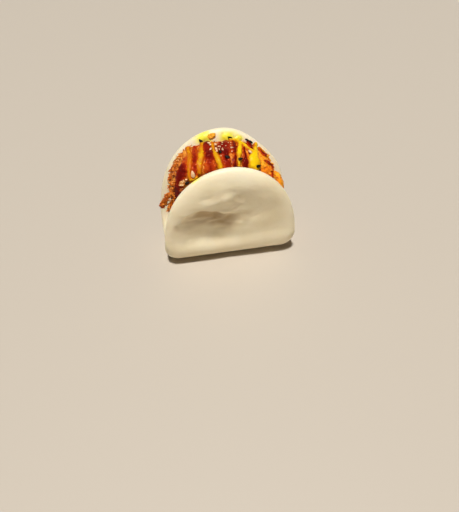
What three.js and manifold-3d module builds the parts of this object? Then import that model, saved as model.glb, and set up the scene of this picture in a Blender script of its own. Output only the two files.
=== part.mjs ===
// Gua bao: a steamed bun folded round a breaded, fried cutlet, with drizzled sauce and
// sesame seeds. Millimetres, +Z up. X runs along the fold, the lower flap faces -Y, and
// the origin is on the flat spot that the bun stands on, under the middle of the whole.
import * as THREE from "three";
import { mergeVertices } from "three/addons/utils/BufferGeometryUtils.js";
import Module from "manifold-3d";

const wasm = await Module();
wasm.setup();
const degrees = THREE.MathUtils.degToRad;
const { clamp, lerp, smoothstep } = THREE.MathUtils;

// Bun: one oval sheet of dough, folded in half
const BUN_HALF_WIDTH = 47;
const DOUGH = 12.8; // thickness
const FOLD_RADIUS = 18.7; // of the middle of the dough
const FOLD_SWELL = 0.15; // share by which the dough is thicker at the fold
const FOLD_SWELL_REACH = 25; // along the dough, each way
const RIM_SHARE = 0.22; // outer share of the sheet that thins to a round rim
const OUTLINE_POWER = 3.07;
const OUTLINE_ROOT = 1.94;
const FRONT = { length: 83.6, lean: degrees(4.2), taper: 0.017 };
const BACK = { length: 89.4, lean: degrees(-1.3), taper: 0 };
const SHOULDER_SLUMP = 0.035; // the back flap's right shoulder sags outwards
const FOLD_PINCH = 0.03; // share by which the sheet is narrower at the fold
const FOLD_PINCH_REACH = 9;
const FOLD_Y = 1.48;
const FLAT_SPOT_CUT = 2; // depth of the fold that its own weight flattens
const BUN_ROWS = 40;
const OUTSIDE_ROWS = 0.55; // share of the rows on the outside
const BUN_COLUMNS = 64;
const ROW_CROWDING = 0.64; // draws the rows together at the fold and at the rim
const FOLD_CROWDING = 0.35; // draws the columns together at the ends of the fold

// The front flap's upper half sags over its lower half in a soft lip: x along the bun,
// height of the lip's edge, and depth of the hollow under it
const LIP = [
  [-42, 34, 0], [-35, 42.5, 1.1], [-28, 48.8, 2], [-20, 52.2, 3], [-11, 50.2, 3.6],
  [-4, 46.2, 3.2], [5, 47.5, 1.4], [20, 52, 0.4], [38, 46, 0],
];
const LIP_TURN = 9; // height over which the hollow gets deeper
const HOLLOW_FROM = 24; // below the lip, where the hollow starts to come out again
const HOLLOW_TO = 46; // and where it ends
const BELLY_IN = 3.2; // by which the lower half of the flap lies further back

// Soft dents and ridges in the front flap: place, spread and depth inwards
const DENTS = [
  { x: -4, z: 58, wide: 7, high: 3.6, depth: -1.2 },
  { x: -13, z: 55, wide: 7, high: 3.4, depth: -0.8 },
  { x: 22, z: 46, wide: 18, high: 12, depth: 1.2 },
  { x: 20, z: 58.5, wide: 18, high: 8, depth: 0.7 },
];

// Cutlet: a rounded slab that fills the gap in the bun
const CUTLET_LEFT = 36.2;
const CUTLET_RIGHT = 35.2;
const CUTLET_MIDDLE_Z = 40;
const CUTLET_RISE = 39.5; // from its middle up to its top edge
const CUTLET_DROP = 26; // from its middle down to the fold
const LEFT_SQUARENESS = 3.4;
const RIGHT_SQUARENESS = 2.55;
const FRONT_EDGE = { round: 9, flat: 0.25 };
const BACK_EDGE = { round: 5, flat: 0.6 };
const CUTLET_ROWS = 16;
const CUTLET_COLUMNS = 96;
const UPPER_COLUMNS = 0.72; // share of the columns on the part that shows
const GAP = 0.4; // the least between the filling and the bun
const SLACK = 0.4; // more than that between the faces of the cutlet and the bun

// Crumb crust: lumps of three sizes and chips that stand out
const LUMPS = [
  { size: 15, rise: 0.7 },
  { size: 8.5, rise: 0.75 },
  { size: 5.2, rise: 0.55 },
];
const CHIPS = [
  { from: 128, to: 196, count: 24, size: [1.5, 2.9] },
  { from: -2, to: 42, count: 8, size: [1.2, 2] },
  { from: 50, to: 125, count: 3, size: [1, 1.7] },
];
const FLAKES = [
  { x: -40.6, y: -0.5, z: 47, length: 5.8, tilt: 52 },
  { x: -43, y: -0.8, z: 42.8, length: 3.4, tilt: 48 },
  { x: -38.4, y: -1.5, z: 40.5, length: 5.4, tilt: 76 },
];
const BARE_END = { x: 33.2, y: 4.2, z: 39, half: [7.6, 7.6, 14] };

// Drizzled sauce: x, share across the cutlet and width at a few places along each strand
const STRAND_HEIGHT = 1.1;
const SHARE_LENGTH = 12; // about as long as a share of 1 across the cutlet
const STRANDS = [
  [[-22.4, 0.75, 3], [-22.1, -0.21, 3.1], [-23.3, -0.63, 2.7], [-23.8, -0.95, 2.4]],
  [[-12.3, 0.75, 3.4], [-14.9, -0.29, 3.6], [-17.2, -0.77, 3.5], [-17.4, -0.95, 3.2]],
  [[-6.3, 0.6, 2.8], [-6.6, -0.15, 3.1], [-5.7, -0.55, 3.1], [-4.3, -0.93, 3.3]],
  [[5.5, 0.75, 2.1], [9.6, 0.72, 2.6], [11.4, 0.3, 2.9], [9.4, -0.36, 3], [7.3, -0.94, 2.6]],
  [[11.6, 0.45, 3], [13.6, 0.22, 3.2], [15.4, -0.1, 3.1], [18.6, -0.36, 3]],
  [[22.2, 0.72, 3], [20.2, -0.15, 4], [18.1, -0.6, 6.6], [17.7, -0.83, 9.2]],
  [[24.2, 0.55, 1.6], [28, 0.3, 1.8], [30.4, 0.02, 1.6]],
];

// Thick sauce on the bun: angle round the sheet, share of its radius, and half sizes
const SAUCE_ON_BUN = [
  { angle: 101.8, reach: 0.972, half: [5.2, 3.6, 1] },
  { angle: 85.8, reach: 0.952, half: [5, 3.2, 1] },
  { angle: 77.3, reach: 0.948, half: [3.4, 2.2, 0.9] },
];

// Sesame seeds: x and share across the cutlet, with a turn for each
const SEED_HALF = [1.65, 0.95, 0.6];
const SEEDS = [
  [-25.8, -0.979, 25], [-28.2, -0.92, 70], [-21.5, -0.935, 95], [-20, 0.8, 30], [-8.3, -0.11, 60],
  [-6.5, 0.45, 150], [-5.6, 0.2, 95], [-7.3, 0.08, 70], [-5.2, -0.15, 40], [-6.3, -0.3, 20],
  [-3.2, -0.41, 20], [0.7, -0.7, 160], [8.6, -0.78, 10], [15.5, -0.44, 140], [16.1, 0.64, 25],
  [18, 0.5, 160], [14.1, 0.45, 165], [19.3, -0.88, 5],
];
const SEEDS_ON_BUN = [
  { angle: 83, reach: 0.948, turn: 20, lift: 0.9 },
  { angle: 104, reach: 0.962, turn: 130, lift: 0.7 },
];

// One stream of random numbers, the same on every run
let state = 20;
function random() {
  state = (Math.imul(state, 1664525) + 1013904223) >>> 0;
  return state / 2 ** 32;
}

// A closed skin between two poles: pointAt(row, turn), both from 0 to 1.
function closedSkin(rows, columns, pointAt) {
  const points = [pointAt(0, 0)];
  for (let row = 1; row < rows; row += 1) {
    for (let column = 0; column < columns; column += 1) {
      points.push(pointAt(row / rows, column / columns));
    }
  }
  points.push(pointAt(1, 0));
  const last = points.length - 1;
  const at = (row, column) => 1 + (row - 1) * columns + (column % columns);
  const index = [];
  for (let column = 0; column < columns; column += 1) {
    index.push(0, at(1, column), at(1, column + 1));
    for (let row = 1; row < rows - 1; row += 1) {
      const near = [at(row, column), at(row, column + 1)];
      const far = [at(row + 1, column), at(row + 1, column + 1)];
      index.push(near[0], far[0], near[1], near[1], far[0], far[1]);
    }
    index.push(at(rows - 1, column), last, at(rows - 1, column + 1));
  }
  const geometry = new THREE.BufferGeometry().setFromPoints(points);
  geometry.setIndex(index);
  return geometry;
}

function solid(geometry) {
  const bare = geometry.clone();
  bare.deleteAttribute("normal");
  bare.deleteAttribute("uv");
  const merged = mergeVertices(bare, 1e-4);
  const mesh = new wasm.Mesh({
    numProp: 3,
    vertProperties: new Float32Array(merged.attributes.position.array),
    triVerts: new Uint32Array(merged.index.array),
  });
  const made = new wasm.Manifold(mesh);
  if (made.volume() > 0) return made;
  const index = merged.index.array;
  for (let corner = 0; corner < index.length; corner += 3) {
    [index[corner], index[corner + 1]] = [index[corner + 1], index[corner]];
  }
  mesh.triVerts = new Uint32Array(index);
  return new wasm.Manifold(mesh);
}

function geometryOf(body) {
  const mesh = body.getMesh();
  const geometry = new THREE.BufferGeometry();
  const positions = new THREE.BufferAttribute(mesh.vertProperties, 3);
  geometry.setAttribute("position", positions);
  geometry.setIndex(new THREE.BufferAttribute(mesh.triVerts, 1));
  geometry.computeVertexNormals();
  return geometry;
}

function largestPiece(body) {
  const pieces = body.decompose();
  return pieces.reduce((best, next) => (next.volume() > best.volume() ? next : best));
}

// A shape of half size 1 set on a surface: sized along, across and out of it, and turned.
function seated(shape, spot, half, turn, lift) {
  const along = new THREE.Vector3(1, 0, 0);
  along.addScaledVector(spot.normal, -along.dot(spot.normal)).normalize();
  along.applyAxisAngle(spot.normal, degrees(turn));
  const across = new THREE.Vector3().crossVectors(spot.normal, along);
  const place = new THREE.Matrix4().makeBasis(along, across, spot.normal);
  place.scale(new THREE.Vector3(...half));
  place.setPosition(spot.point.clone().addScaledVector(spot.normal, lift));
  return solid(shape.clone().applyMatrix4(place));
}

// The outward normal of a surface pointAt(a, b), on the side that faces away from inner.
function spotOn(pointAt, a, b, inner, step) {
  const point = pointAt(a, b);
  const first = pointAt(a + step, b).sub(point);
  const second = pointAt(a, b + step).sub(point);
  const normal = first.cross(second).normalize();
  if (normal.dot(point.clone().sub(inner)) < 0) normal.negate();
  return { point, normal };
}

// Middle of the dough at a distance v along it from the fold, front flap negative.
function doughMiddle(v) {
  const flap = v < 0 ? FRONT : BACK;
  const run = Math.abs(v);
  const upright = Math.PI / 2 - flap.lean;
  const bend = Math.min(run / FOLD_RADIUS, upright);
  const wall = Math.max(0, run - FOLD_RADIUS * upright);
  const out = FOLD_RADIUS * Math.sin(bend) + wall * Math.cos(bend);
  const up = FOLD_RADIUS * (1 - Math.cos(bend)) + wall * Math.sin(bend);
  const foldHeight = (DOUGH / 2) * (1 + FOLD_SWELL) - FLAT_SPOT_CUT;
  return { y: FOLD_Y + Math.sign(v) * out, z: foldHeight + up, bend: Math.sign(v) * bend };
}

// Rim of the flat sheet: u along the fold and v away from it, at an angle round the sheet.
function sheetRim(angle) {
  const away = Math.sin(angle);
  const flap = away < 0 ? FRONT : BACK;
  const narrowing = Math.max(0, 1 - Math.abs(away) ** OUTLINE_POWER) ** (1 / OUTLINE_ROOT);
  const shoulder = away > 0 && Math.cos(angle) > 0;
  const slump = shoulder ? Math.sin(4 * angle) * Math.sin(2 * angle) ** 2 : 0;
  const stretch = 1 + SHOULDER_SLUMP * slump;
  const v = flap.length * away * stretch;
  const pinch = 1 - FOLD_PINCH * Math.exp(-((v / FOLD_PINCH_REACH) ** 2));
  const width = BUN_HALF_WIDTH * narrowing * pinch * (1 - flap.taper * Math.abs(away));
  return { u: Math.sign(Math.cos(angle)) * width * stretch, v };
}

// Value of the lip's table at x, eased from each place to the next.
function lipAt(x, column) {
  const after = clamp(LIP.findIndex((place) => place[0] > x), 1, LIP.length - 1);
  const [start, end] = [LIP[after - 1], LIP[after]];
  return lerp(start[column], end[column], smoothstep(x, start[0], end[0]));
}

// How far the front flap's outside lies in from an even thickness.
function frontDepth(x, z) {
  const under = lipAt(x, 1) - z;
  const steep = 1 - (1 - clamp(under / LIP_TURN, 0, 1)) ** 2;
  const comeOut = (1 - smoothstep(under, HOLLOW_FROM, HOLLOW_TO)) * smoothstep(z, 4, 20);
  let depth = lipAt(x, 2) * steep * smoothstep(under, -0.5, 3) * comeOut;
  depth += BELLY_IN * (1 - smoothstep(z, 26, 68)) * smoothstep(z, 5, 24);
  for (const dent of DENTS) {
    const distance = ((x - dent.x) / dent.wide) ** 2 + ((z - dent.z) / dent.high) ** 2;
    depth += dent.depth * Math.exp(-distance);
  }
  return depth;
}

// Skin of the bun: side is 1 outside and -1 inside, reach runs from the middle to the rim.
function doughSkin(angle, reach, side, spare = 0) {
  const rim = sheetRim(angle);
  const v = rim.v * reach;
  const middle = doughMiddle(v);
  const thinning = clamp((reach - (1 - RIM_SHARE)) / RIM_SHARE, 0, 1);
  const swell = 1 + FOLD_SWELL * Math.exp(-((v / FOLD_SWELL_REACH) ** 2));
  const depth = side > 0 && v < 0 ? frontDepth(rim.u * reach, middle.z) : 0;
  const half = ((DOUGH / 2) * swell - depth) * Math.sqrt(1 - thinning ** 2) + spare;
  const y = middle.y + side * half * Math.sin(middle.bend);
  const z = middle.z - side * half * Math.cos(middle.bend);
  return new THREE.Vector3(rim.u * reach, y, z);
}

function sheetGeometry(spare) {
  return closedSkin(BUN_ROWS, BUN_COLUMNS, (row, turn) => {
    const even = 2 * Math.PI * turn;
    const angle = even - FOLD_CROWDING * Math.sin(2 * even);
    const side = row < OUTSIDE_ROWS ? 1 : -1;
    const out = side > 0 ? row / OUTSIDE_ROWS : (1 - row) / (1 - OUTSIDE_ROWS);
    const reach = out - (ROW_CROWDING * Math.sin(2 * Math.PI * out)) / (2 * Math.PI);
    return doughSkin(angle, reach * (1 + spare / BUN_HALF_WIDTH), side, spare);
  });
}

// How far the flap's inner face is from the fold's plane, at a height up its wall.
function wallDistance(flap, z) {
  const upright = Math.PI / 2 - flap.lean;
  const wallStart = doughMiddle(0).z + FOLD_RADIUS * (1 - Math.cos(upright));
  const middle = FOLD_RADIUS * Math.sin(upright) + (z - wallStart) * Math.tan(flap.lean);
  return middle - DOUGH / 2 - GAP - SLACK;
}

function cutletRadius(angle) {
  const along = Math.cos(angle);
  const up = Math.sin(angle);
  const x = Math.abs(along) / (along < 0 ? CUTLET_LEFT : CUTLET_RIGHT);
  const z = Math.abs(up) / (up > 0 ? CUTLET_RISE : CUTLET_DROP);
  const squareness = along < 0 ? LEFT_SQUARENESS : RIGHT_SQUARENESS;
  return (x ** squareness + z ** squareness) ** (-1 / squareness);
}

// Smooth cutlet: across runs from -1 at the front face to 1 at the back face.
function cutletSkin(angle, across, scale = 1) {
  const edge = across < 0 ? FRONT_EDGE : BACK_EDGE;
  const turned = clamp((Math.abs(across) - edge.flat) / (1 - edge.flat), 0, 1);
  const inset = edge.round * (1 - Math.sqrt(1 - turned ** 2));
  const radius = (cutletRadius(angle) - inset) * scale;
  const z = CUTLET_MIDDLE_Z + radius * Math.sin(angle);
  const y = FOLD_Y + across * wallDistance(across < 0 ? FRONT : BACK, z);
  return new THREE.Vector3(radius * Math.cos(angle), y, z);
}

const cutletHeart = new THREE.Vector3(0, FOLD_Y, CUTLET_MIDDLE_Z);

// A spot on top of the cutlet at a given x, found by stepping its angle.
function cutletTop(x, across) {
  let angle = Math.PI / 2;
  for (let step = 0; step < 12; step += 1) {
    const point = cutletSkin(angle, across);
    const radius = Math.hypot(point.x, point.z - CUTLET_MIDDLE_Z);
    angle = lerp(angle, Math.acos(clamp(x / radius, -1, 1)), 0.7);
  }
  return spotOn(cutletSkin, angle, across, cutletHeart, -0.01);
}

// Height of the crumb crust at a place: sharp-edged lumps, turned against each other.
function crustHeight(point) {
  let height = 0;
  LUMPS.forEach((lump, order) => {
    const turn = 0.5 + 2.4 * order;
    const wave = (2 * Math.PI) / lump.size;
    const a = point.x * Math.cos(turn) + point.z * Math.sin(turn) + 0.6 * point.y;
    const b = point.z * Math.cos(turn) - point.x * Math.sin(turn) + 0.8 * point.y;
    const waves = Math.sin(a * wave + order) * Math.cos(b * wave + 2 * order);
    height += lump.rise * (0.4 - 1.3 * Math.abs(waves));
  });
  return height;
}

// Rows of the cutlet's skin run over its front face, round its edge and over its back face.
function cutletGeometry() {
  const faceRows = 2;
  return closedSkin(CUTLET_ROWS, CUTLET_COLUMNS, (row, turn) => {
    const upper = turn / UPPER_COLUMNS;
    const lower = (turn - UPPER_COLUMNS) / (1 - UPPER_COLUMNS);
    const angle = turn < UPPER_COLUMNS ? lerp(-0.35, Math.PI + 0.35, upper)
      : lerp(Math.PI + 0.35, 2 * Math.PI - 0.35, lower);
    const place = row * CUTLET_ROWS;
    const fromFace = Math.min(place, CUTLET_ROWS - place);
    const edgeRows = CUTLET_ROWS - 2 * faceRows;
    const round = clamp((place - faceRows) / edgeRows, 0, 1) * 2 - 1;
    const across = Math.sin((round * Math.PI) / 2);
    const scale = Math.min(1, fromFace / faceRows);
    const point = cutletSkin(angle, across, scale);
    if (scale < 1 || Math.abs(round) === 1) return point;
    const { normal } = spotOn(cutletSkin, angle, across, cutletHeart, -0.01);
    return point.addScaledVector(normal, crustHeight(point));
  });
}

// The end without sauce: a long lump with the same crust.
function bareEndGeometry() {
  const [halfX, halfY, halfZ] = BARE_END.half;
  return closedSkin(11, 18, (row, turn) => {
    const up = Math.cos(Math.PI * row);
    const ring = Math.sin(Math.PI * row) ** 0.75;
    const x = BARE_END.x + halfX * ring * Math.cos(2 * Math.PI * turn);
    const y = BARE_END.y + halfY * ring * Math.sin(2 * Math.PI * turn);
    const point = new THREE.Vector3(x, y, BARE_END.z + halfZ * up);
    const outwards = new THREE.Vector3(point.x - BARE_END.x, point.y - BARE_END.y, halfZ * up);
    return point.addScaledVector(outwards.normalize(), crustHeight(point));
  });
}

function strandGeometry(strand) {
  const rows = 12;
  const columns = 7;
  const places = strand.map(([x, share, width]) => new THREE.Vector3(x, SHARE_LENGTH * share, width));
  const path = new THREE.CatmullRomCurve3(places, false, "catmullrom");
  const placeAt = (part) => path.getPoint(clamp(part, 0, 1));
  const spotAt = (part) => cutletTop(placeAt(part).x, placeAt(part).y / SHARE_LENGTH);
  return closedSkin(rows, columns, (row, turn) => {
    const part = (1 - Math.cos(Math.PI * row)) / 2;
    const spot = spotAt(part);
    const ahead = spotAt(part + 0.02).point.sub(spotAt(part - 0.02).point).normalize();
    const aside = new THREE.Vector3().crossVectors(ahead, spot.normal).normalize();
    const taper = Math.sqrt(Math.max(0, 1 - Math.abs(2 * row - 1) ** 6));
    const spread = (placeAt(part).z / 2) * taper;
    const height = STRAND_HEIGHT * taper;
    return spot.point.addScaledVector(aside, spread * Math.cos(2 * Math.PI * turn))
      .addScaledVector(spot.normal, height * (0.15 + Math.sin(2 * Math.PI * turn)));
  });
}

function chipOn(spot, size) {
  const half = [size * lerp(0.9, 1.4, random()), size * lerp(0.5, 0.8, random()), size * 0.8];
  const shape = new THREE.IcosahedronGeometry(1, 0);
  const lean = new THREE.Vector3(random() - 0.5, random() - 0.5, random() - 0.5);
  const normal = spot.normal.clone().addScaledVector(lean, 1.1).normalize();
  return seated(shape, { point: spot.point, normal }, half, 360 * random(), size * 0.3);
}

function makeBun() {
  const seedShape = new THREE.SphereGeometry(1, 6, 4);
  const dropShape = new THREE.SphereGeometry(1, 10, 6);
  const inside = (angle, reach) => doughSkin(angle, reach, -1);
  const outer = new THREE.Vector3(0, 2 * BUN_HALF_WIDTH, CUTLET_MIDDLE_Z);
  const below = new THREE.BoxGeometry(4 * BUN_HALF_WIDTH, 4 * BUN_HALF_WIDTH, 20);
  below.translate(0, 0, -10);
  const bodies = [solid(sheetGeometry(0)).subtract(solid(below))];
  for (const drop of SAUCE_ON_BUN) {
    const spot = spotOn(inside, degrees(drop.angle), drop.reach, outer, -0.005);
    bodies.push(seated(dropShape, spot, drop.half, 0, 0));
  }
  for (const seed of SEEDS_ON_BUN) {
    const spot = spotOn(inside, degrees(seed.angle), seed.reach, outer, -0.005);
    bodies.push(seated(seedShape, spot, SEED_HALF, seed.turn, seed.lift));
  }
  return wasm.Manifold.union(bodies);
}

function makeCutlet() {
  const seedShape = new THREE.SphereGeometry(1, 6, 4);
  const bodies = [solid(cutletGeometry()), solid(bareEndGeometry())];
  for (const zone of CHIPS) {
    for (let chip = 0; chip < zone.count; chip += 1) {
      const angle = degrees(lerp(zone.from, zone.to, (chip + random()) / zone.count));
      const across = lerp(-0.85, 0.8, random());
      const spot = spotOn(cutletSkin, angle, across, cutletHeart, -0.01);
      bodies.push(chipOn(spot, lerp(...zone.size, random())));
    }
  }
  for (const flake of FLAKES) {
    const normal = new THREE.Vector3(0, 1, 0);
    const point = new THREE.Vector3(flake.x, flake.y, flake.z);
    const half = [flake.length, flake.length * 0.5, flake.length * 0.42];
    const shape = new THREE.IcosahedronGeometry(1, 0);
    bodies.push(seated(shape, { point, normal }, half, -flake.tilt, 0));
  }
  for (const strand of STRANDS) bodies.push(solid(strandGeometry(strand)));
  for (const [x, across, turn] of SEEDS) {
    const lift = STRAND_HEIGHT * 0.6;
    bodies.push(seated(seedShape, cutletTop(x, across), SEED_HALF, turn, lift));
  }
  return wasm.Manifold.union(bodies);
}

function part(name, body, color, roughness) {
  const material = new THREE.MeshStandardMaterial({ color, roughness, metalness: 0 });
  const mesh = new THREE.Mesh(geometryOf(body), material);
  mesh.name = name;
  return mesh;
}

const bun = makeBun();
const room = solid(sheetGeometry(GAP));
const cutlet = largestPiece(makeCutlet().subtract(room).subtract(bun));

const guaBao = new THREE.Group();
guaBao.name = "gua_bao";
guaBao.add(part("bun", bun, 0xf3e9d2, 0.55));
guaBao.add(part("cutlet", cutlet, 0xd07a28, 0.6));

export default guaBao;
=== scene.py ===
# %% [markdown]
# # A gua bao
# A gua bao is a steamed bun, folded like a purse round a filling. Here the filling is a
# breaded, fried cutlet under dark glaze, yellow drizzle and sesame seeds. The solids come from
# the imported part, which stays the fixed frame. This lesson gives each of them a finer skin and
# its finish, and adds what is too thin or too small to be a solid: glaze, crumbs and stains.
# Shapes are measured in millimetres, up to the moment a mesh is made.

# %% Load the frame
import itertools
import math

import bmesh
import bpy
import numpy as np
from mathutils import Matrix, Vector


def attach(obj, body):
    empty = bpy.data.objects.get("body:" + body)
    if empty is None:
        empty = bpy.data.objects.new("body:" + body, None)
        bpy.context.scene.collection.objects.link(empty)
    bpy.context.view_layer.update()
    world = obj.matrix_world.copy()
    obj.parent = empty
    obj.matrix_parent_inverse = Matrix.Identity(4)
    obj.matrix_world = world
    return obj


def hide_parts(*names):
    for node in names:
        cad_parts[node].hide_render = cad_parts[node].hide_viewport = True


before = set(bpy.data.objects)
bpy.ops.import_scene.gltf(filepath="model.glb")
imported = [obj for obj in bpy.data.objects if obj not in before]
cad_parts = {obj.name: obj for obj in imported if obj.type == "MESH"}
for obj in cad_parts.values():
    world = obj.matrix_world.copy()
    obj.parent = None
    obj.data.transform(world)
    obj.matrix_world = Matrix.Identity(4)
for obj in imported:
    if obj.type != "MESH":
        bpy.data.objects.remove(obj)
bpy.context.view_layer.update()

MM = 0.001
np.set_printoptions(suppress=True)

# %% [markdown]
# ## Helpers for skins
# Every soft form here is a closed skin: rings of points between two poles, like the lines of
# latitude on a globe. Blender has primitives and modifiers for that, but a skin written as a
# grid of points lets a formula place each point, and the same formula can then carry crumbs
# and sauce. The helpers below turn rings into a mesh, in metres, or keep part of an open sheet.
# Every piece rides on the part's one body, and a tone stored with its points lets its finish
# know what happened there, and where shade is painted into its colour.

# %% A piece and its tones
def mesh_piece(name, points, faces, smooth=True):
    """A new piece that rides on the part's body, from points in millimetres."""
    mesh = bpy.data.meshes.new(name)
    mesh.from_pydata((np.asarray(points) * MM).tolist(), [], faces)
    mesh.polygons.foreach_set("use_smooth", np.full(len(mesh.polygons), smooth))
    mesh.update()
    piece = bpy.data.objects.new(name, mesh)
    bpy.context.scene.collection.objects.link(piece)
    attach(piece, "root")
    return piece


def tone_layer(piece, name, values):
    """Stores one grey value for each point, for a finish to read by name."""
    layer = piece.data.color_attributes.new(name, "FLOAT_COLOR", "POINT")
    rgba = np.repeat(np.asarray(values, float).reshape(-1, 1), 4, axis=1)
    rgba[:, 3] = 1
    layer.data.foreach_set("color", rgba.ravel())

# %% A closed skin
def closed_skin(rings, start, end):
    """Points and faces of a skin: rings is rows x columns x 3, start and end are its poles."""
    rows, columns = rings.shape[:2]
    points = np.concatenate([[start], rings.reshape(-1, 3), [end]])
    row, column = np.meshgrid(np.arange(rows - 1), np.arange(columns), indexing="ij")
    beside = (column + 1) % columns
    corners = [row * columns + column, (row + 1) * columns + column,
               (row + 1) * columns + beside, row * columns + beside]
    faces = (np.stack(corners, -1).reshape(-1, 4) + 1).tolist()
    bottom = 1 + (rows - 1) * columns
    for column in range(columns):
        beside = (column + 1) % columns
        faces.append((0, 1 + column, 1 + beside))
        faces.append((len(points) - 1, bottom + beside, bottom + column))
    return points, faces


sample_points, sample_faces = closed_skin(np.zeros((3, 8, 3)), np.zeros(3), np.zeros(3))
print("3 rings of 8 points make a skin of", len(sample_points), "points,", len(sample_faces), "faces")

# %% Part of an open sheet
def part_of_sheet(points, keep):
    """The faces of a grid of points that have a kept corner, and which points they use."""
    rows, columns = keep.shape
    row, column = np.meshgrid(np.arange(rows - 1), np.arange(columns - 1), indexing="ij")
    first = row * columns + column
    corners = np.stack([first, first + columns, first + columns + 1, first + 1], -1).reshape(-1, 4)
    kept = corners[keep.ravel()[corners].any(1)]
    used, faces = np.unique(kept, return_inverse=True)
    return points.reshape(-1, 3)[used], faces.reshape(-1, 4).tolist(), used


sample_keep = np.arange(25).reshape(5, 5) == 12
_, sample_faces, _ = part_of_sheet(np.zeros((5, 5, 3)), sample_keep)
print("one kept point of a sheet keeps the", len(sample_faces), "faces round it")

# %% [markdown]
# ## Unevenness
# Food is never even. Two kinds of noise are enough here: a soft one, which swells and sinks
# like dough, and one of packed round cells, each with its own random tone, which looks like
# breadcrumbs. Blender's texture nodes have both, but noise in the mesh is real shape, so it
# shows in the outline and goes with the exported model. Each takes a seed, so that every run
# gives the same food. A third helper eases from 0 to 1, for soft borders.

# %% Soft noise
LATTICE = 32  # random values along a side of the block in which the noise repeats


def soft_noise(points, size, seed):
    """Smooth noise from -1 to 1, with swells about as wide as size."""
    values = np.random.default_rng(seed).uniform(-1, 1, (LATTICE,) * 3)
    cell = np.asarray(points) / size
    base = np.floor(cell).astype(int)
    part = cell - base
    part = part * part * (3 - 2 * part)
    total = np.zeros(cell.shape[:-1])
    for step in itertools.product((0, 1), repeat=3):
        weight = np.prod(np.where(step, part, 1 - part), axis=-1)
        total += weight * values[tuple(np.moveaxis((base + step) % LATTICE, -1, 0))]
    return total


sample_line = np.linspace((0, 0, 0), (60, 0, 0), 241)
sample_noise = soft_noise(sample_line, 8, 1)
print("soft noise on a line of 60 mm:", sample_noise.min().round(2), "to", sample_noise.max().round(2))

# %% Packed cells
CELL_RADIUS = 0.95  # of a packed cell, as a share of its size


def packed_cells(points, size, seed):
    """Height from 0 to 1 of the nearest round cell, and that cell's own random tone."""
    draw = np.random.default_rng(seed)
    spots = draw.random((LATTICE,) * 3 + (3,))
    tones = draw.random((LATTICE,) * 3)
    cell = np.asarray(points) / size
    base = np.floor(cell).astype(int)
    nearest = np.full(cell.shape[:-1], np.inf)
    tone = np.zeros(cell.shape[:-1])
    for step in itertools.product((-1, 0, 1), repeat=3):
        key = tuple(np.moveaxis((base + step) % LATTICE, -1, 0))
        away = np.linalg.norm(base + step + spots[key] - cell, axis=-1)
        tone = np.where(away < nearest, tones[key], tone)
        nearest = np.minimum(away, nearest)
    return np.sqrt(np.clip(1 - (nearest / CELL_RADIUS) ** 2, 0, 1)), tone


sample_height, sample_tone = packed_cells(sample_line, 4, 1)
print("cells on that line:", len(np.unique(sample_tone)), "- mean height", sample_height.mean().round(2))

# %% Easing
def smooth_step(value, low, high):
    """Eases from 0 at low to 1 at high, which may be the smaller of the two."""
    part = np.clip((value - low) / (high - low), 0, 1)
    return part * part * (3 - 2 * part)


print("0 to 1 in quarters, eased:", smooth_step(np.linspace(0, 1, 5), 0, 1).round(2))

# %% [markdown]
# ## The folded dough
# The bun is one oval sheet of dough, folded in half while raw and then steamed, so both flaps
# are one piece. A sheet with a Bend modifier could give the fold, but the rim must be round and
# the fold thicker. So the sheet is measured out flat, by an angle round it and a share of the
# way from its middle to its rim, and each point is then carried along the folded middle line
# and out by half the thickness. The sizes are the part's own.

# %% Sizes of the dough
HALF_WIDTH = 47
DOUGH = 12.8  # thickness
FOLD_RADIUS = 18.7  # of the middle of the dough
FOLD_SWELL, FOLD_SWELL_REACH = 0.15, 25  # share by which the dough is thicker at the fold
FOLD_PINCH, FOLD_PINCH_REACH = 0.03, 9  # share by which the sheet is narrower there
RIM_SHARE = 0.22  # outer share of the sheet that thins to a round rim
OUTLINE_POWER, OUTLINE_ROOT = 3.07, 1.94
FRONT_LENGTH, BACK_LENGTH = 83.6, 89.4  # from the fold to the rim, along the dough
FRONT_LEAN, BACK_LEAN = math.radians(4.2), math.radians(-1.3)  # away from the filling
FRONT_TAPER = 0.017
SHOULDER_SLUMP = 0.035  # the back flap's right shoulder sags outwards
FOLD_Y = 1.48
FLAT_SPOT_CUT = 2  # depth of the fold that the bun's own weight flattens
FOLD_HEIGHT = DOUGH / 2 * (1 + FOLD_SWELL) - FLAT_SPOT_CUT
print("flaps:", FRONT_LENGTH, "and", BACK_LENGTH, "mm long from the fold to the rim")

# %% From the flat sheet to the folded bun
def dough_middle(v):
    """Middle of the dough, and its bend, at a distance v from the fold; the front is negative."""
    side, run = np.sign(v), np.abs(v)
    upright = math.pi / 2 - np.where(v < 0, FRONT_LEAN, BACK_LEAN)
    bend = np.minimum(run / FOLD_RADIUS, upright)
    wall = np.maximum(0, run - FOLD_RADIUS * upright)
    out = FOLD_RADIUS * np.sin(bend) + wall * np.cos(bend)
    up = FOLD_RADIUS * (1 - np.cos(bend)) + wall * np.sin(bend)
    return FOLD_Y + side * out, FOLD_HEIGHT + up, side * bend


def sheet_rim(angle):
    """Rim of the flat sheet at an angle round it: u along the fold and v away from it."""
    away, along = np.sin(angle), np.cos(angle)
    slump = np.where((away > 0) & (along > 0), np.sin(4 * angle) * np.sin(2 * angle) ** 2, 0)
    stretch = 1 + SHOULDER_SLUMP * slump
    v = np.where(away < 0, FRONT_LENGTH, BACK_LENGTH) * away * stretch
    narrowing = np.clip(1 - np.abs(away) ** OUTLINE_POWER, 0, 1) ** (1 / OUTLINE_ROOT)
    taper = 1 - np.where(away < 0, FRONT_TAPER * np.abs(away), 0)
    pinch = 1 - FOLD_PINCH * np.exp(-(v / FOLD_PINCH_REACH) ** 2)
    return np.sign(along) * HALF_WIDTH * narrowing * taper * pinch * stretch, v


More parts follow.
